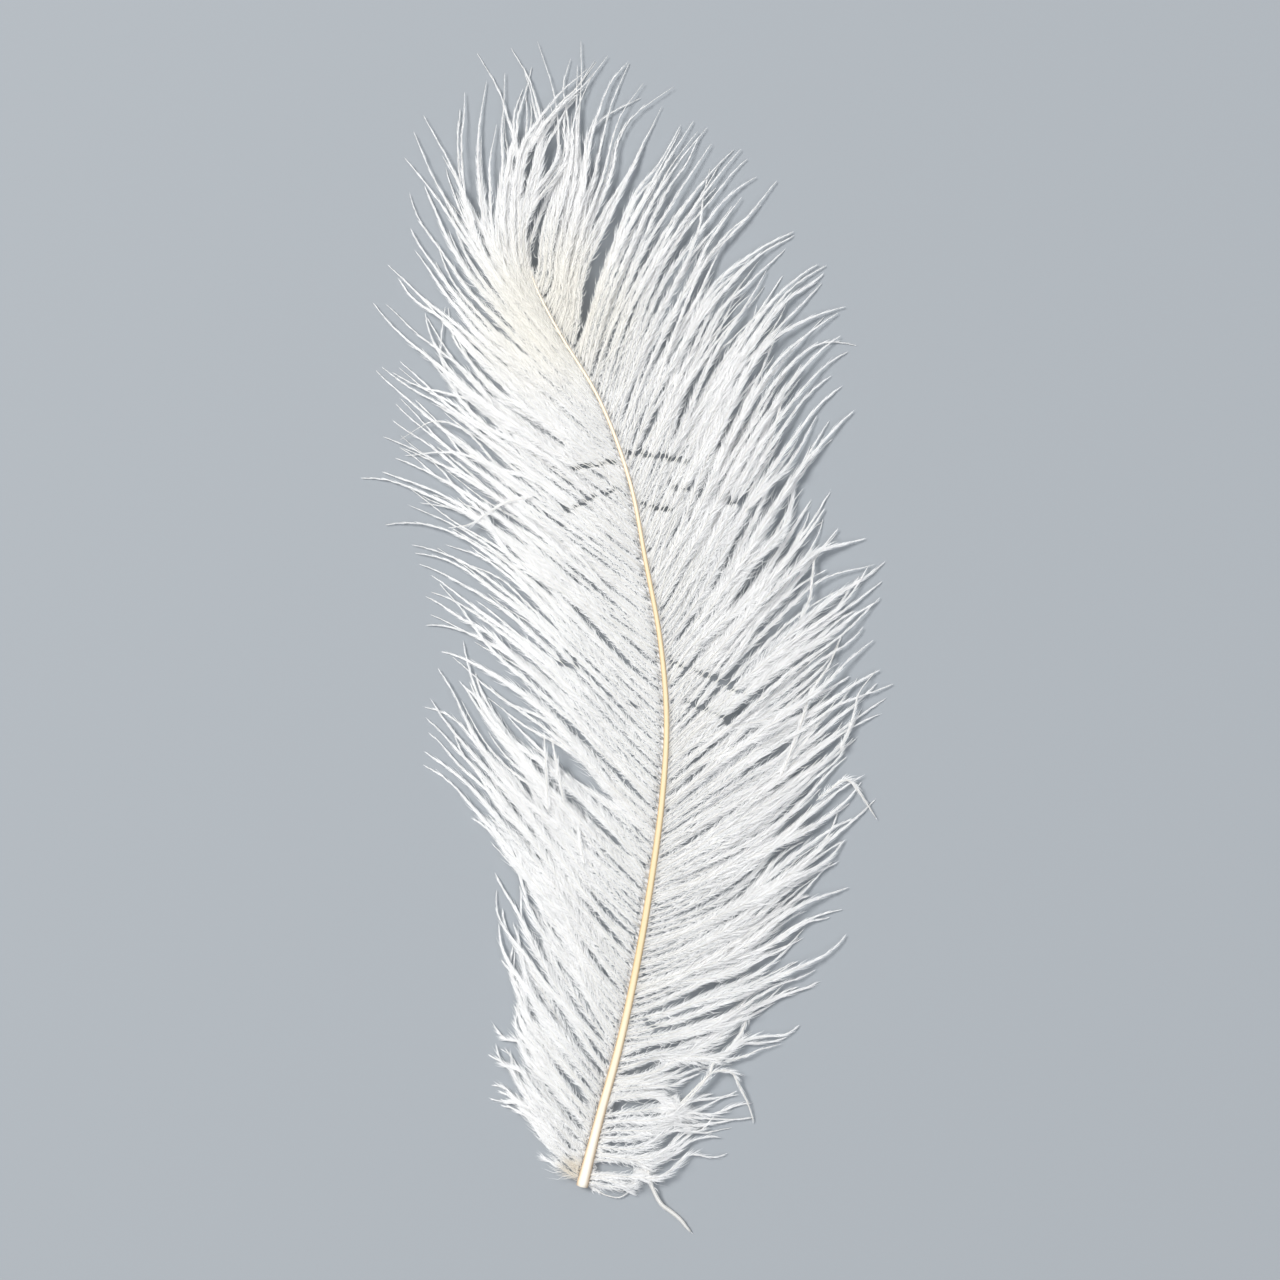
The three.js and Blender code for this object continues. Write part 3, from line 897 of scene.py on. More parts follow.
    (101.5, 1, [(-23, 108), (-22.5, 116), (-21, 124), (-19, 132), (-17.5, 139), (-16.5, 146),
                (-16, 153), (-14, 160), (-10, 170)]),
    (103.5, 2, [(-24.5, 110), (-24, 118), (-22.5, 125), (-20.5, 132), (-19, 139), (-18.5, 146),
                (-19, 153), (-18, 160), (-13, 166)]),
    (105.5, 1, [(-26, 112), (-25.5, 119), (-24, 126), (-22, 132), (-20.5, 138), (-20, 144), (-21, 150),
                (-23, 160)]),
]

# Bars where the growing feather went short, so that the barbules end or are missing:
# (from x, y, to x, y, width, share of the barbs)
faultBars = [
    (0, 55.5, 17.6, 52.7, 1.4, 0.95),
    (3, 40.2, 13, 37.9, 0.9, 0.95),
    (12, -6.5, 35, -17, 0.75, 0.97),
    (17, -18.5, 31, -25.5, 0.75, 0.95),
    (-15, 50.3, -3, 52.7, 1.8, 0.9),
    (-19, -8, -14, -9.5, 1.3, 0.8),
    (-10, -14, -2, -22, 1.2, 0.6),
    (1, -19.5, 4, -21, 1.4, 0.8),
    (-19, 37.3, -3, 44.7, 0.8, 0.85),
    (13, 45.5, 43, 37, 1.0, 0.5),
    (33, 68, 36.5, 68, 0.8, 0.5),
    (5, -114, 12, -119.5, 1.8, 0.8),
]
barEdges = {
    "shift": 0.35,  # how unlike each other the bars lie on neighbouring barbs
    "widths": (0.1, 1.15),  # and how wide they are there, times their width
    "past": 0.5,  # how far they go on past their ends
}

barbLook = {
    "rodColour": "#FDFCF9",
    "downColours": [(0.35, "#FAFAFA"), (0.65, "#FEFEFE")],
    "cloudScale": 90.0,  # for patches about 11 mm wide
    # Ivory where the barbs leave the last third of the shaft, and a painted brownish shadow on the barbs by
    # the cut quill: centre and radius in m, and colour
    "ivoryAndQuillShade": [
        ((-0.022, 0.098, 0.005), 0.034, "#FDFBF5"),
        ((-0.0168, -0.160, 0.002), 0.006, "#EEE5D4"),
    ],
    "ivoryAndShadeShare": 0.6,
    "ivoryAndShadeCore": 0.2,  # part of the radius inside which it is full
    "letThrough": 0.55,  # part of the light
    "roughness": 0.55,
    "ior": 1.55,
    "gloss": 0.35,
    "sheen": 0.25,
    "sheenRoughness": 0.45,
}


def makeBarbMaterial():
    # Feather keratin, bleached: each barbule is a clear hair that scatters light white and lets
    # a part of it through, so that thick strands glow and single ones look grey
    material = bpy.data.materials.new("down_keratin_bleached")
    material.use_nodes = True
    tree = material.node_tree
    surface = tree.nodes["Principled BSDF"]
    place = addNode(tree, "ShaderNodeTexCoord").outputs["Object"]
    down = addNode(tree, "ShaderNodeAttribute", attribute_name="down").outputs["Fac"]
    cloud = addNode(
        tree,
        "ShaderNodeTexNoise",
        [("Vector", place), ("Scale", barbLook["cloudScale"]), ("Detail", 3.0)],
    ).outputs["Fac"]
    tone = addNode(
        tree,
        "ShaderNodeValToRGB",
        [("Fac", cloud)],
        barbLook["downColours"],
    ).outputs["Color"]
    stem = addNode(
        tree,
        "ShaderNodeMix",
        [("Factor", down), (6, linearColour(barbLook["rodColour"])), (7, tone)],
        data_type="RGBA",
    ).outputs[2]
    colour = stem
    # The first spot is the barbs' own ivory; the second, by the cut quill, is a painted brownish shadow
    for centre, radius, spotColour in barbLook["ivoryAndQuillShade"]:
        offset = addNode(
            tree,
            "ShaderNodeVectorMath",
            [(0, place), (1, centre)],
            operation="DISTANCE",
        ).outputs["Value"]
        near = addNode(
            tree,
            "ShaderNodeMapRange",
            [("Value", offset), ("From Min", radius), ("From Max", radius * barbLook["ivoryAndShadeCore"])],
            interpolation_type="SMOOTHSTEP",
        ).outputs["Result"]
        share = addNode(
            tree,
            "ShaderNodeMath",
            [(0, near), (1, barbLook["ivoryAndShadeShare"])],
            operation="MULTIPLY",
        )
        colour = addNode(
            tree,
            "ShaderNodeMix",
            [("Factor", share.outputs["Value"]), (6, colour), (7, linearColour(spotColour))],
            data_type="RGBA",
        ).outputs[2]
    tree.links.new(colour, surface.inputs["Base Color"])
    surface.inputs["Roughness"].default_value = barbLook["roughness"]
    surface.inputs["IOR"].default_value = barbLook["ior"]
    surface.inputs["Specular IOR Level"].default_value = barbLook["gloss"]
    surface.inputs["Sheen Weight"].default_value = barbLook["sheen"]
    surface.inputs["Sheen Roughness"].default_value = barbLook["sheenRoughness"]
    through = addNode(tree, "ShaderNodeBsdfTranslucent", [("Color", colour)])
    both = addNode(
        tree,
        "ShaderNodeMixShader",
        [(0, barbLook["letThrough"]), (1, surface.outputs["BSDF"]), (2, through.outputs["BSDF"])],
    )
    tree.links.new(both.outputs["Shader"], tree.nodes["Material Output"].inputs["Surface"])
    return material


barbMaterial = makeBarbMaterial()


def waves(count, steps, periods, lengths):
    # Smooth sideways noise for each of a number of fibres, made of three sine waves
    usualPeak = 2.2  # of the three together; divided by it, they reach from about -1 to 1
    along = np.linspace(0, 1, steps)[None] * lengths[:, None]
    total = np.zeros((count, steps))
    for _ in range(3):
        period = random.uniform(*periods, (count, 1))
        phase = random.uniform(0, 2 * np.pi, (count, 1))
        total += np.sin(2 * np.pi * along / period + phase)
    return total / usualPeak


def leadPoints(root, leaving, tip, heading):
    # The four points that lead a barb's curve from its root to its tip, seen from above
    reach = np.linalg.norm(tip - root, axis=1)[:, None]
    return [
        root,
        root + towards(leaving) * barbs["leadFromRoot"] * reach,
        tip - towards(heading) * barbs["leadToTip"] * reach,
        tip,
    ]


def followCurve(lead, u):
    weights = [(1 - u) ** 3, 3 * (1 - u) ** 2 * u, 3 * (1 - u) * u * u, u**3]
    return sum(w[..., None] * point[:, None] for w, point in zip(weights, lead))


def smoothStep(low, high, value):
    x = np.clip((value - low) / (high - low), 0, 1)
    return x * x * (3 - 2 * x)


def rootsAt(rootY, side):
    middle, forward, width = shaftAt(rootY)
    across = unit(np.stack([forward[:, 1], -forward[:, 0], np.zeros(len(rootY))], -1)) * side
    root = middle + across * (barbs["rootOut"] * width)[:, None]
    root[:, 2] += barbs["rootUp"] * width
    return root


def strandSpread(part):
    # The width over which a strand's barbs lie side by side
    return barbs["strandWidth"] * barbs["spreadGain"] * part * (2 * barbs["widestAt"] - part)


def makePaths(strands, leave, side):
    # The middle lines of one comb's barbs: an array of barbs, steps and x, y, z
    strands = np.array(strands, float)
    before, after = barbs["beyond"]
    low, high = strands[0, 0] - before, strands[-1, 0] + after
    count = int((high - low) / barbs["spacing"])
    rootY = np.linspace(low, high, count) + random.normal(0, barbs["uneven"], count)
    root = rootsAt(rootY, side)
    ground = [1, 1, 0]
    # Each barb belongs to the nearest strand, which starts at its own place on the shaft
    strands[:, 3] += random.normal(0, barbs["turn"], len(strands))
    station = np.interp(rootY, strands[:, 0], np.arange(len(strands)))
    own = np.clip(np.round(station).astype(int), 0, len(strands) - 1)
    offset = station - own
    strandRoot = rootsAt(strands[:, 0], side) * ground
    strandTip = strands[:, 1:3]
    strandTip = np.concatenate([strandTip, np.zeros((len(strands), 1))], 1)
    strandLeave = readTable(leave, strands[:, 0])
    strandLead = leadPoints(strandRoot, strandLeave, strandTip, strands[:, 3])
    places = np.arange(len(strands))
    aim = np.stack([np.interp(station, places, strands[:, k]) for k in (1, 2, 3)], -1)
    single = random.random(count) < barbs["single"]
    aim[:, 2] += single * random.choice([-1, 1], count) * random.uniform(*barbs["singleTurn"], count)
    scatter = 1 + barbs["singleScatter"] * single[:, None]
    aim[:, :2] += random.normal(0, barbs["tipScatter"], (count, 2)) * scatter
    tip = np.concatenate([aim[:, :2], np.zeros((count, 1))], 1)
    leaving = readTable(leave, rootY) + random.normal(0, barbs["leavingScatter"], count)
    # The barb nearest to a strand's middle is its longest, and makes its tip
    far = 9.0  # more than any offset
    nearest = np.full(len(strands), far)
    np.minimum.at(nearest, own, np.abs(offset) + far * single)
    longest = (np.abs(offset) <= nearest[own]) & ~single
    behind = np.abs(offset) + random.uniform(*barbs["behind"], count)
    end = 1 - barbs["shorter"] * np.where(longest, 0, np.clip(behind, 0, 1))
    steps = barbs["steps"] + 1
    u = np.linspace(0, 1, steps)[None] * end[:, None]
    path = followCurve(leadPoints(root * ground, leaving, tip, aim[:, 2]), u)
    strandPath = followCurve([point[own] for point in strandLead], u)
    gatherFrom = readTable(leave, rootY, 3)[:, None]
    gather = smoothStep(gatherFrom, gatherFrom + barbs["gatherOver"], u)
    gather *= 1 - barbs["loosen"] * smoothStep(barbs["tipFrom"], 1, u) * ~longest[:, None]
    gathers = random.uniform(*barbs["gathers"], count)
    gather *= barbs["gather"] * np.where(single, 0.0, gathers)[:, None]
    path += np.clip(gather, 0, 1)[..., None] * (strandPath - path)
    # Sideways wander, alike for the barbs of a strand and then each its own
    reach = np.linalg.norm(tip[:, :2] - root[:, :2], axis=1)
    part = np.linspace(0, 1, steps)[None]
    strandLengths = np.full(len(strands), barbs["strandLength"])
    strandWave = waves(len(strands), steps, barbs["strandWaves"], strandLengths)[own]
    barbWave = waves(count, steps, barbs["barbWaves"], reach)
    unrest = readTable(leave, rootY, 4)[:, None]
    shift = strandWave * barbs["sway"] * unrest * part ** barbs["swayGrowth"]
    shift = shift * (1 - barbs["swayEase"] * part)
    shift = shift + barbWave * barbs["wander"] * unrest * part ** barbs["wanderGrowth"]
    aside = random.normal(0, barbs["split"], (count, 1)) * ~longest[:, None]
    shift += aside * smoothStep(barbs["tipFrom"], 1, part)
    jostle = barbs["jostle"]
    beside = -side * offset[:, None] + random.uniform(-jostle, jostle, (count, 1))
    shift += beside * strandSpread(part)
    path = moveSideways(path, shift)
    lift = random.uniform(0, 1, len(strands))[own]
    fluff = readTable(leave, rootY, 2) * np.where(single, barbs["singleFluff"], 1)
    return raisePaths(path, root[:, 2], lift), fluff


routedBarbs = {
    "closer": 0.9,  # distance of their roots over that of the other barbs
    "uneven": 0.2,  # scatter of the roots along the shaft
    "behind": (0.2, 1),  # how far a strand's shorter barbs fall behind, of the most they may
    "narrower": 0.75,  # spread over that of the other strands
    "length": 75.0,  # typical, for the waves
}


def makeRouted(routed, leave, side):
    # The barbs of the strands whose way is given point by point
    steps = barbs["steps"] + 1
    part = np.linspace(0, 1, steps)[None]
    paths, rootHeights, heights = [], [], []
    for height, count, points in routed:
        longest = random.integers(count)
        for k in range(count):
            offset = k - (count - 1) / 2
            rootY = height + offset * barbs["spacing"] * routedBarbs["closer"]
            rootY += random.normal(0, routedBarbs["uneven"])
            root = rootsAt(np.array([rootY]), side)[0]
            end = 1 - barbs["shorter"] * random.uniform(*routedBarbs["behind"]) * (k != longest)
            route = [tuple(root[:2])] + points
            path = routePoint(route, part[0] * end)
            path = np.concatenate([path, np.zeros((steps, 1))], 1)[None]
            wave = waves(1, steps, barbs["barbWaves"], np.array([routedBarbs["length"]]))
            shift = -side * offset * routedBarbs["narrower"] * strandSpread(part)
            unrest = readTable(leave, rootY, 4)
            shift += wave * barbs["wander"] * unrest * part ** barbs["wanderGrowth"]
            aside = random.normal(0, barbs["split"]) * (k != longest)
            shift += aside * smoothStep(barbs["tipFrom"], 1, part)
            paths.append(moveSideways(path, shift)[0])
            rootHeights.append(root[2])
            heights.append(rootY)
    lift = random.uniform(0, 1, len(paths))
    return raisePaths(np.array(paths), np.array(rootHeights), lift), readTable(leave, heights, 2)


def moveSideways(path, shift):
    heading = unit(np.gradient(path, axis=1) + 1e-9)
    sideways = np.stack([heading[..., 1], -heading[..., 0], np.zeros(heading.shape[:2])], -1)
    return path + sideways * shift[..., None]


def raisePaths(path, rootHeight, lift):
    # Height: from the shaft to the table, with some strands standing over the rest
    count, steps, _ = path.shape
    part = np.linspace(0, 1, steps)[None]
    fall = (1 - part) ** barbs["fall"]
    own = barbs["ownLoft"]
    lift = lift * (1 - own) + random.uniform(0, 1, count) * own
    topPower, narrowPower = barbs["loftPowers"]
    rise = np.sin(np.pi * part**topPower) ** narrowPower
    loft = barbs["loft"] * lift[:, None] * rise
    tipHeight = barbs["tipHeight"] * random.uniform(*barbs["tipHeights"], (count, 1))
    path[..., 2] = rootHeight[:, None] * fall + tipHeight * (1 - fall) + loft
    return path


def barbTube(path, thickness):
    # A three-sided rod with closed ends along each path; returns points, triangles and UVs
    count, steps, _ = path.shape
    forward = unit(np.gradient(path, axis=1))
    across = unit(np.cross(forward, [0.0, 0.0, 1.0]))
    upward = np.cross(across, forward)
    turn = np.radians([-90, 30, 150])  # a face turned up
    rings = across[:, :, None] * np.cos(turn)[:, None] + upward[:, :, None] * np.sin(turn)[:, None]
    points = path[:, :, None] + rings * thickness[..., None, None] / 2
    triangles, uv = gridTriangles(steps, 3, True)
    last = (steps - 1) * 3
    caps = np.array([[0, 2, 1], [last, last + 1, last + 2]])
    capUv = np.array([[[0, 0], [0, 1], [0.01, 0.5]], [[1, 0], [1, 0.5], [0.99, 1]]])
    triangles = np.concatenate([triangles, caps])
    uv = np.concatenate([uv, capUv])
    offsets = np.arange(count)[:, None, None] * (steps * 3)
    return points.reshape(count, -1, 3), triangles[None] + offsets, np.tile(uv, (count, 1, 1, 1))


def barPart(base, tip, barb):
    # For barbules from base to tip, the part of each that is left by the fault bars, which are
    # uneven from one barb to the next
    left = np.ones(len(base))
    barbCount = barb.max() + 1
    for x0, y0, x1, y1, width, share in faultBars:
        start = np.array([x0, y0])
        along = np.array([x1 - x0, y1 - y0], float)
        length = np.linalg.norm(along)
        along /= length
        normal = np.array([-along[1], along[0]])
        shift = random.normal(0, barEdges["shift"], barbCount)[barb]
        half = width / 2 * random.uniform(*barEdges["widths"], barbCount)[barb]
        met = (random.random(barbCount) < share)[barb]
        at = (base[:, :2] - start) @ along
        off = (base[:, :2] - start) @ normal + shift
        toTip = (tip - base)[:, :2] @ normal
        beside = met & (at > -barEdges["past"]) & (at < length + barEdges["past"])
        hit = beside & (np.abs(off) < half)
        before = beside & (np.abs(off) >= half) & (off * toTip < 0)
        room = (np.abs(off) - half) / np.maximum(np.abs(toTip), 1e-6)
        left = np.where(before, np.minimum(left, np.clip(room, 0, 1)), left)
        left = np.where(hit, 0, left)
    return left


def ribbonPoints(base, middle, tip, taper):
    # Five points for each ribbon, which is flat side up or nearly so
    count = len(base)
    half = barbules["width"] / 2 * random.uniform(*barbules["widths"], count) * taper
    flatWay = unit(np.cross(tip - base, [0.0, 0.0, 1.0]))
    standing = unit(np.cross(flatWay, unit(tip - base)))
    twist = np.radians(random.normal(0, barbules["twist"], count))
    wide = flatWay * np.cos(twist)[:, None] + standing * np.sin(twist)[:, None]
    wide *= half[:, None]
    root = wide * barbules["baseWidth"]
    return np.stack([base - root, base + root, middle - wide, middle + wide, tip], 1)


def addBarbules(path, lengths, fluff):
    # Bent, tapering ribbons along both sides of each barb. fluff scales their angle and length for
    # each barb. Returns the points, the barb each belongs to, and places for the UV map.
    steps = path.shape[1]
    perSide = np.maximum((lengths / barbules["spacing"]).astype(int), barbules["fewest"])
    barb = np.repeat(np.arange(len(path)), perSide * 2)
    order = np.arange(len(barb)) - np.repeat(np.cumsum(perSide * 2) - perSide * 2, perSide * 2)
    side = np.where(order % 2 == 0, -1.0, 1.0)
    u = (order // 2 + random.uniform(*barbules["placed"], len(barb))) / perSide[barb]
    u = barbules["start"] + barbules["over"] * u
    place = u * (steps - 1)
    low = np.minimum(place.astype(int), steps - 2)
    w = (place - low)[:, None]
    base = path[barb, low] * (1 - w) + path[barb, low + 1] * w
    forward = unit(path[barb, low + 1] - path[barb, low])
    across = unit(np.cross(forward, [0.0, 0.0, 1.0])) * side[:, None]
    upward = np.cross(across, forward) * side[:, None]
    # Tufts: neighbours lean alike, in waves along the barb. The fourth wave isn't used, but
    # without it all random numbers after it would be others.
    phase = random.uniform(0, 2 * np.pi, (len(path), 4))[barb]
    period = random.uniform(*barbules["tufts"], (len(path), 4))[barb]
    distance = (u * lengths[barb])[:, None]
    wave = 2 * np.pi * distance / period + phase + side[:, None] * [1, -1, 2, 0]
    sizeTuft, angleTuft, rollTuft, _ = np.sin(wave).T
    count = len(barb)
    fluffHere = 1 + (fluff[barb] - 1) * smoothStep(*barbules["fluffOver"], u)
    size = readTable(barbules["growth"], u) * fluffHere
    size *= (1 + barbules["tuftSize"] * sizeTuft) * random.uniform(*barbules["sizes"], count)
    angle = readTable(barbules["growth"], u, 2) * fluffHere
    angle *= 1 + barbules["tuftAngle"] * angleTuft
    angle = np.radians(angle * random.normal(1.0, barbules["angleScatter"], count))
    wild = random.random(count) < barbules["wild"]
    angle *= np.where(wild, barbules["wildAngle"], 1)
    size *= np.where(wild, barbules["wildLength"], 1)
    roll = barbules["roll"] * (1 + barbules["rollGrowth"] * u)
    roll *= random.normal(0, barbules["rollScatter"], count) + barbules["tuftRoll"] * rollTuft
    lowered = barbules["lowered"] * (1 - smoothStep(*barbules["loweredOver"], u))
    roll = np.radians(roll - lowered)
    outward = across * np.cos(roll)[:, None] + upward * np.sin(roll)[:, None]

    def reachOut(part, bend):
        turned = angle * bend
        direction = forward * np.cos(turned)[:, None] + outward * np.sin(turned)[:, None]
        return base + direction * (size * part)[:, None]

    middleBend, tipBend = barbules["bends"]
    middle = reachOut(0.5, middleBend)
    tip = reachOut(1.0, tipBend)
    left = barPart(base, tip, barb)
    middle = base + (middle - base) * left[:, None]
    tip = base + (tip - base) * left[:, None]
    tip[:, 2] -= barbules["droop"] * random.uniform(0, 1, count)
    points = ribbonPoints(base, middle, tip, 1 - barbules["narrowing"] * u)
    keep = left > barbules["leastLeft"]
    span = size / lengths[barb]
    offsets = u[:, None] + span[:, None] * barbules["uvAlong"]
    heights = barbules["uvHeight"] * np.array(barbules["uvUp"])
    heights = np.where(side < 0, *barbules["uvFrom"])[:, None] + heights
    places = np.stack([np.clip(offsets, 0, 1), heights], -1)
    return points[keep], barb[keep], places[keep]


# A ribbon's triangles, and the number of points that they join
ribbon = np.array([[0, 1, 3], [0, 3, 2], [2, 3, 4]])
perRibbon = 5


def makeBarbPiece(name, path, fluff, node, thickness=None):
    lengths = np.linalg.norm(np.diff(path, axis=1), axis=2).sum(1)
    count, steps, _ = path.shape
    if thickness is None:
        taper = np.linspace(1, 0, steps)[None] ** barbs["taper"]
        thickness = barbs["tipDiameter"] + (barbs["rootDiameter"] - barbs["tipDiameter"]) * taper
        thickness = np.tile(thickness, (count, 1))
    rodPoints, rodTriangles, rodUv = barbTube(path, thickness)
    points, barb, places = addBarbules(path, lengths, fluff)
    # Every barb has its own strip of the UV map, with the rod below and its barbules above
    strip = (np.arange(count) / count)[:, None, None, None]
    rodUv = np.stack([rodUv[..., 0], strip[..., 0] + rodUv[..., 1] * barbs["rodUv"] / count], -1)
    places = np.stack([places[..., 0], (barb[:, None] + places[..., 1]) / count], -1)
    rodCount = rodPoints.shape[0] * rodPoints.shape[1]
    downTriangles = ribbon[None] + np.arange(len(points))[:, None, None] * perRibbon + rodCount
    downUv = places[:, ribbon]
    allPoints = np.concatenate([rodPoints.reshape(-1, 3), points.reshape(-1, 3)])
    allPoints[:, 2] = np.maximum(allPoints[:, 2], barbules["leastHeight"])
    down = np.concatenate([np.zeros(rodCount), np.ones(len(points) * perRibbon)])
    triangles = np.concatenate([rodTriangles.reshape(-1, 3), downTriangles.reshape(-1, 3)])
    uv = np.concatenate([rodUv.reshape(-1, 2), downUv.reshape(-1, 2)])
    print(name, "has", count, "barbs and", len(points), "barbules")
    makePiece(name, allPoints, triangles, uv, {"down": down}, barbMaterial, node)


def makeComb(title, gathered, routed, leave, side):
    path, fluff = gathered
    routedPath, routedFluff = makeRouted(routed, leave, side)
    path = np.concatenate([path, routedPath])
    fluff = np.concatenate([fluff, routedFluff])
    scatter = random.normal(1.0, barbules["fluffScatter"], len(path))
    fluff *= scatter.clip(*barbules["fluffLimits"])
    rootY = path[:, 0, 1]
    for word, (low, high) in barbs["pieces"].items():
        chosen = (rootY >= low) & (rootY < high)
        makeBarbPiece(f"{title}_barbs_{word}", path[chosen], fluff[chosen], title + "_vane")


# Short down on both edges of the shaft, which fills the slots between the barbs' roots
rootDown = {
    "spacing": 0.10,
    "range": (-164.0, 112.0),  # heights on the shaft
    "shortest": 1.0,
    "longest": 2.3,
    "spread": 17.0,  # degrees
    "curl": 6.0,  # degrees
    "lower": 0.20,  # part of the shaft's width by which it grows lower than the barbs
    "lowers": (0.3, 1.7),  # least and most, times that part
    "droops": (0, 2),  # least and most, times that of the barbules
    "columns": 50,  # of cells in the UV map
}


def makeRootDown(title, leave, side):
    low, high = rootDown["range"]
    count = int((high - low) / rootDown["spacing"])
    rootY = random.uniform(low, high, count)
    base = rootsAt(rootY, side)
    base[:, 2] -= rootDown["lower"] * shaftAt(rootY)[2] * random.uniform(*rootDown["lowers"], count)
    heading = readTable(leave, rootY) + random.normal(0, rootDown["spread"], count)
    size = random.uniform(rootDown["shortest"], rootDown["longest"], count)[:, None]
    middle = base + towards(heading) * size * 0.5
    tip = base + towards(heading + random.normal(0, rootDown["curl"], count)) * size
    tip[:, 2] -= barbules["droop"] * random.uniform(*rootDown["droops"], count)
    points = ribbonPoints(base, middle, tip, np.ones(count)).reshape(-1, 3)
    points[:, 2] = np.maximum(points[:, 2], barbules["leastHeight"])
    triangles = (ribbon[None] + np.arange(count)[:, None, None] * perRibbon).reshape(-1, 3)
    # Every ribbon has a cell of its own in the UV map
    columns = rootDown["columns"]
    rows = -(-count // columns)
    place = np.stack([np.arange(count) % columns, np.arange(count) // columns], -1)
    shape = np.array([[0.05, 0.3], [0.05, 0.7], [0.5, 0.25], [0.5, 0.75], [0.95, 0.5]])
    uv = (place[:, None] + shape[None]) / [columns, rows]
    makePiece(
        title + "_root_down",
        points,
        triangles,
        uv[:, ribbon].reshape(-1, 2),
        {"down": np.ones(len(points))},
        barbMaterial,
        title + "_vane",
    )


leftGathered = makePaths(leftStrands, leftLeave, -1)
rightGathered = makePaths(rightStrands, rightLeave, 1)
makeComb("left", leftGathered, leftRouted, leftLeave, -1)
makeComb("right", rightGathered, rightRouted, rightLeave, 1)
makeRootDown("left", leftLeave, -1)
makeRootDown("right", rightLeave, 1)
print("barbs made")

# Loose barbs that curl or cross the others: (points, diameter in the middle, fluffiness)
leftLoose = [
    ([(-23.5, -52, 6.6), (-24, -40, 6.6), (-24.7, -29.4, 5)], 0.4, 0.8),
    ([(-18.5, -50, 6.6), (-20.5, -40, 6.6), (-22.2, -31, 5)], 0.4, 0.8),
    ([(-12.5, -68, 7), (-14, -60, 7), (-14, -52.5, 6.5)], 0.35, 0.7),
    ([(-28, 42, 6.5), (-36, 40.5, 6), (-42, 37, 5), (-47, 34, 4), (-53, 33, 3)], 0.35, 0.7),
    ([(-28, 43, 5), (-38, 51, 4.6), (-46, 60, 4), (-50, 63, 4), (-55, 64.8, 3.5), (-60, 64.3, 3),
      (-68, 59.5, 2)], 0.25, 0.5),
    ([(-29, 127, 6), (-26, 132, 6), (-22, 137, 5.5), (-20, 140, 5)], 0.25, 0.4),
    ([(-30, 145, 5), (-25, 153, 5), (-20, 160, 4.5), (-15, 165, 4), (-9, 173, 3)], 0.3, 0.5),
    ([(-12, -164.5, 0.6), (-9, -166.5, 0.8), (-6, -168, 0.9), (-2, -168.5, 1), (1, -166, 1.2),
      (3, -160, 2.5)], 0.35, 0.35),
    ([(-10, -165, 0.8), (-5, -166, 1), (-1, -166.5, 1), (1.5, -163, 1.8)], 0.3, 0.3),
]
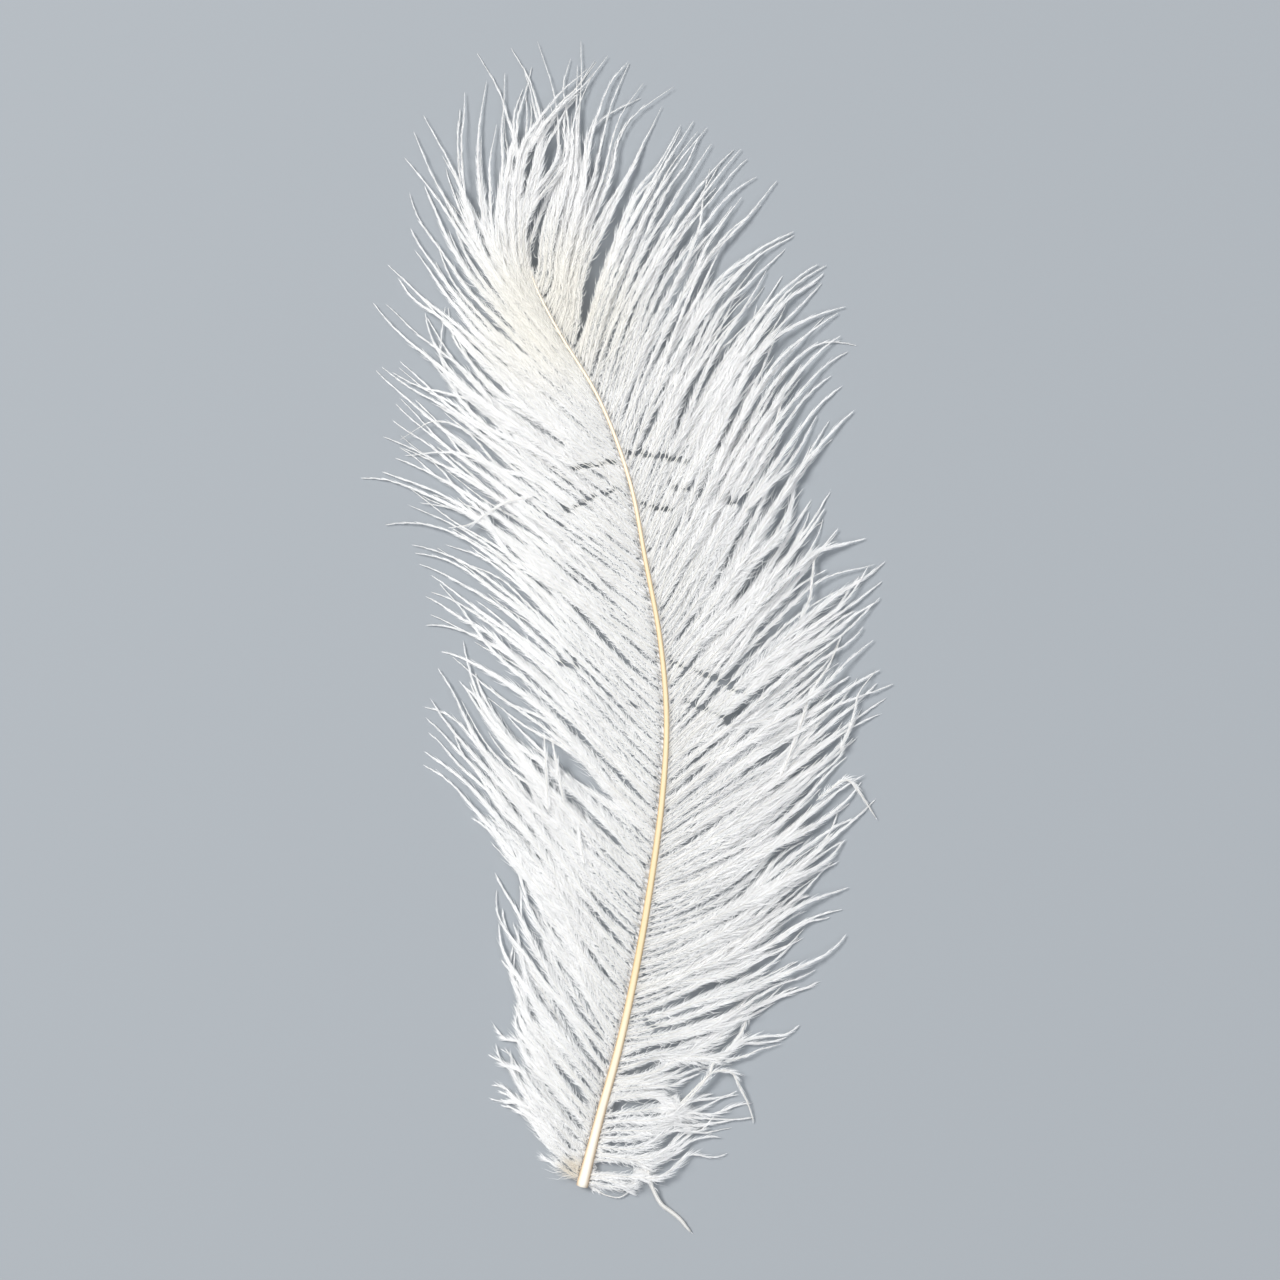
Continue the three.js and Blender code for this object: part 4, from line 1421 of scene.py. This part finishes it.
rightLoose = [
    ([(6.5, -160, 3), (7, -163, 3), (8.5, -167, 2.2), (10.5, -170.5, 1.6), (13, -172.5, 1.2),
      (16, -175, 1.0), (18, -177.5, 0.8), (19.3, -179, 0.6)], 1.45, 0.6),
    ([(14, -142, 3), (18, -139, 3.5), (22, -135, 4), (25, -131, 4), (29, -130, 3.6), (32, -131, 3.2),
      (34, -135, 2.6), (36, -139, 2), (37.5, -143, 1.4), (38, -145.5, 0.9)], 0.6, 0.8),
    ([(36.5, -113.5, 1.5), (35, -118, 2), (32, -122.5, 2.6), (29, -126, 3), (26, -128, 3.5),
      (25, -131, 3.8), (22, -134, 3.8), (18, -138, 3.4), (14.5, -141.5, 3)], 0.85, 0.7),
    ([(29, -127.5, 3), (35, -126, 2.5), (40, -124, 2), (46, -122.5, 1.2)], 0.3, 0.5),
    ([(57, -49, 3), (61.5, -45.5, 3), (65, -43, 2.8), (67.5, -43.5, 2.6), (70, -46.5, 2.2),
      (72.5, -50.3, 1.6), (75, -54.2, 1)], 0.6, 0.8),
    ([(45.7, -43.3, 5), (49.1, -34.6, 5), (52.6, -25.1, 4.6), (55.2, -16.9, 4), (60.4, -9, 3.2),
      (63.9, -1.7, 2)], 0.5, 0.85),
    ([(49, -37, 4.5), (52.5, -32.5, 4), (56, -28, 3.6), (60, -22.8, 3), (63.8, -17.7, 2)], 0.3, 0.6),
    ([(64, -34, 3.4), (66.5, -28.5, 3.2), (68.2, -23.4, 3), (70, -16.6, 2.4), (75, -10, 1.4)], 0.3, 0.6),
    ([(38, 50, 4.5), (42.5, 57.5, 4), (45, 65, 3.6), (47.5, 73.5, 2.8), (52.2, 81.7, 1.6)], 0.3, 0.7),
    ([(52, 5, 4), (55, 12, 4), (56, 20, 3.4), (57, 24, 3), (63, 31, 2)], 0.35, 0.6),
]
looseBarbs = {
    "cutOff": 0.06,  # part of the half wave of their thickness that is left out at each end
    "taper": 0.5,  # power with which they thin towards both ends
}
# Knots of tangled barbs: (x, y, z, radius, number of barbs)
rightTangles = [
    (6, -160, 2.6, 1.7, 12),
    (14, -142, 3.4, 2.6, 22),
]
tangle = {
    "bend": 2.2,  # most by which a barb turns, in radians
    "lengths": (0.7, 1.3),  # shortest and longest, times the knot's diameter
    "scatter": 0.35,  # of their middles, as a part of its radius
    "flatness": 0.5,  # that scatter's height over its width
    "diameter": 0.22,
    "fluff": 0.75,
}


def makeLoose(name, loose, tangles, node):
    steps = np.linspace(0, 1, barbs["steps"] + 1)
    paths = [routePoint(points, steps) for points, _, _ in loose]
    diameters = [diameter for _, diameter, _ in loose]
    fluff = [value for _, _, value in loose]
    for x, y, z, radius, count in tangles:
        # Short curls through the middle of the knot, each in a direction of its own
        for _ in range(count):
            turn = random.uniform(0, 2 * np.pi)
            bend = random.uniform(-tangle["bend"], tangle["bend"])
            along = (steps - 0.5) * 2 * radius * random.uniform(*tangle["lengths"])
            angle = turn + bend * (steps - 0.5)
            curl = np.stack([along * np.cos(angle), along * np.sin(angle), 0 * along], -1)
            middle = random.normal(0, tangle["scatter"] * radius, 3) * [1, 1, tangle["flatness"]]
            paths.append(curl + np.array([x, y, z]) + middle)
            diameters.append(tangle["diameter"])
            fluff.append(tangle["fluff"])
    cutOff = looseBarbs["cutOff"]
    taper = np.sin(np.pi * (cutOff + (1 - 2 * cutOff) * steps)) ** looseBarbs["taper"]
    thickness = np.array(diameters)[:, None] * taper[None]
    makeBarbPiece(name, np.array(paths), np.array(fluff), node, thickness)


makeLoose("left_loose_barbs", leftLoose, [], "left_vane")
makeLoose("right_loose_barbs", rightLoose, rightTangles, "right_vane")
print("loose barbs made")
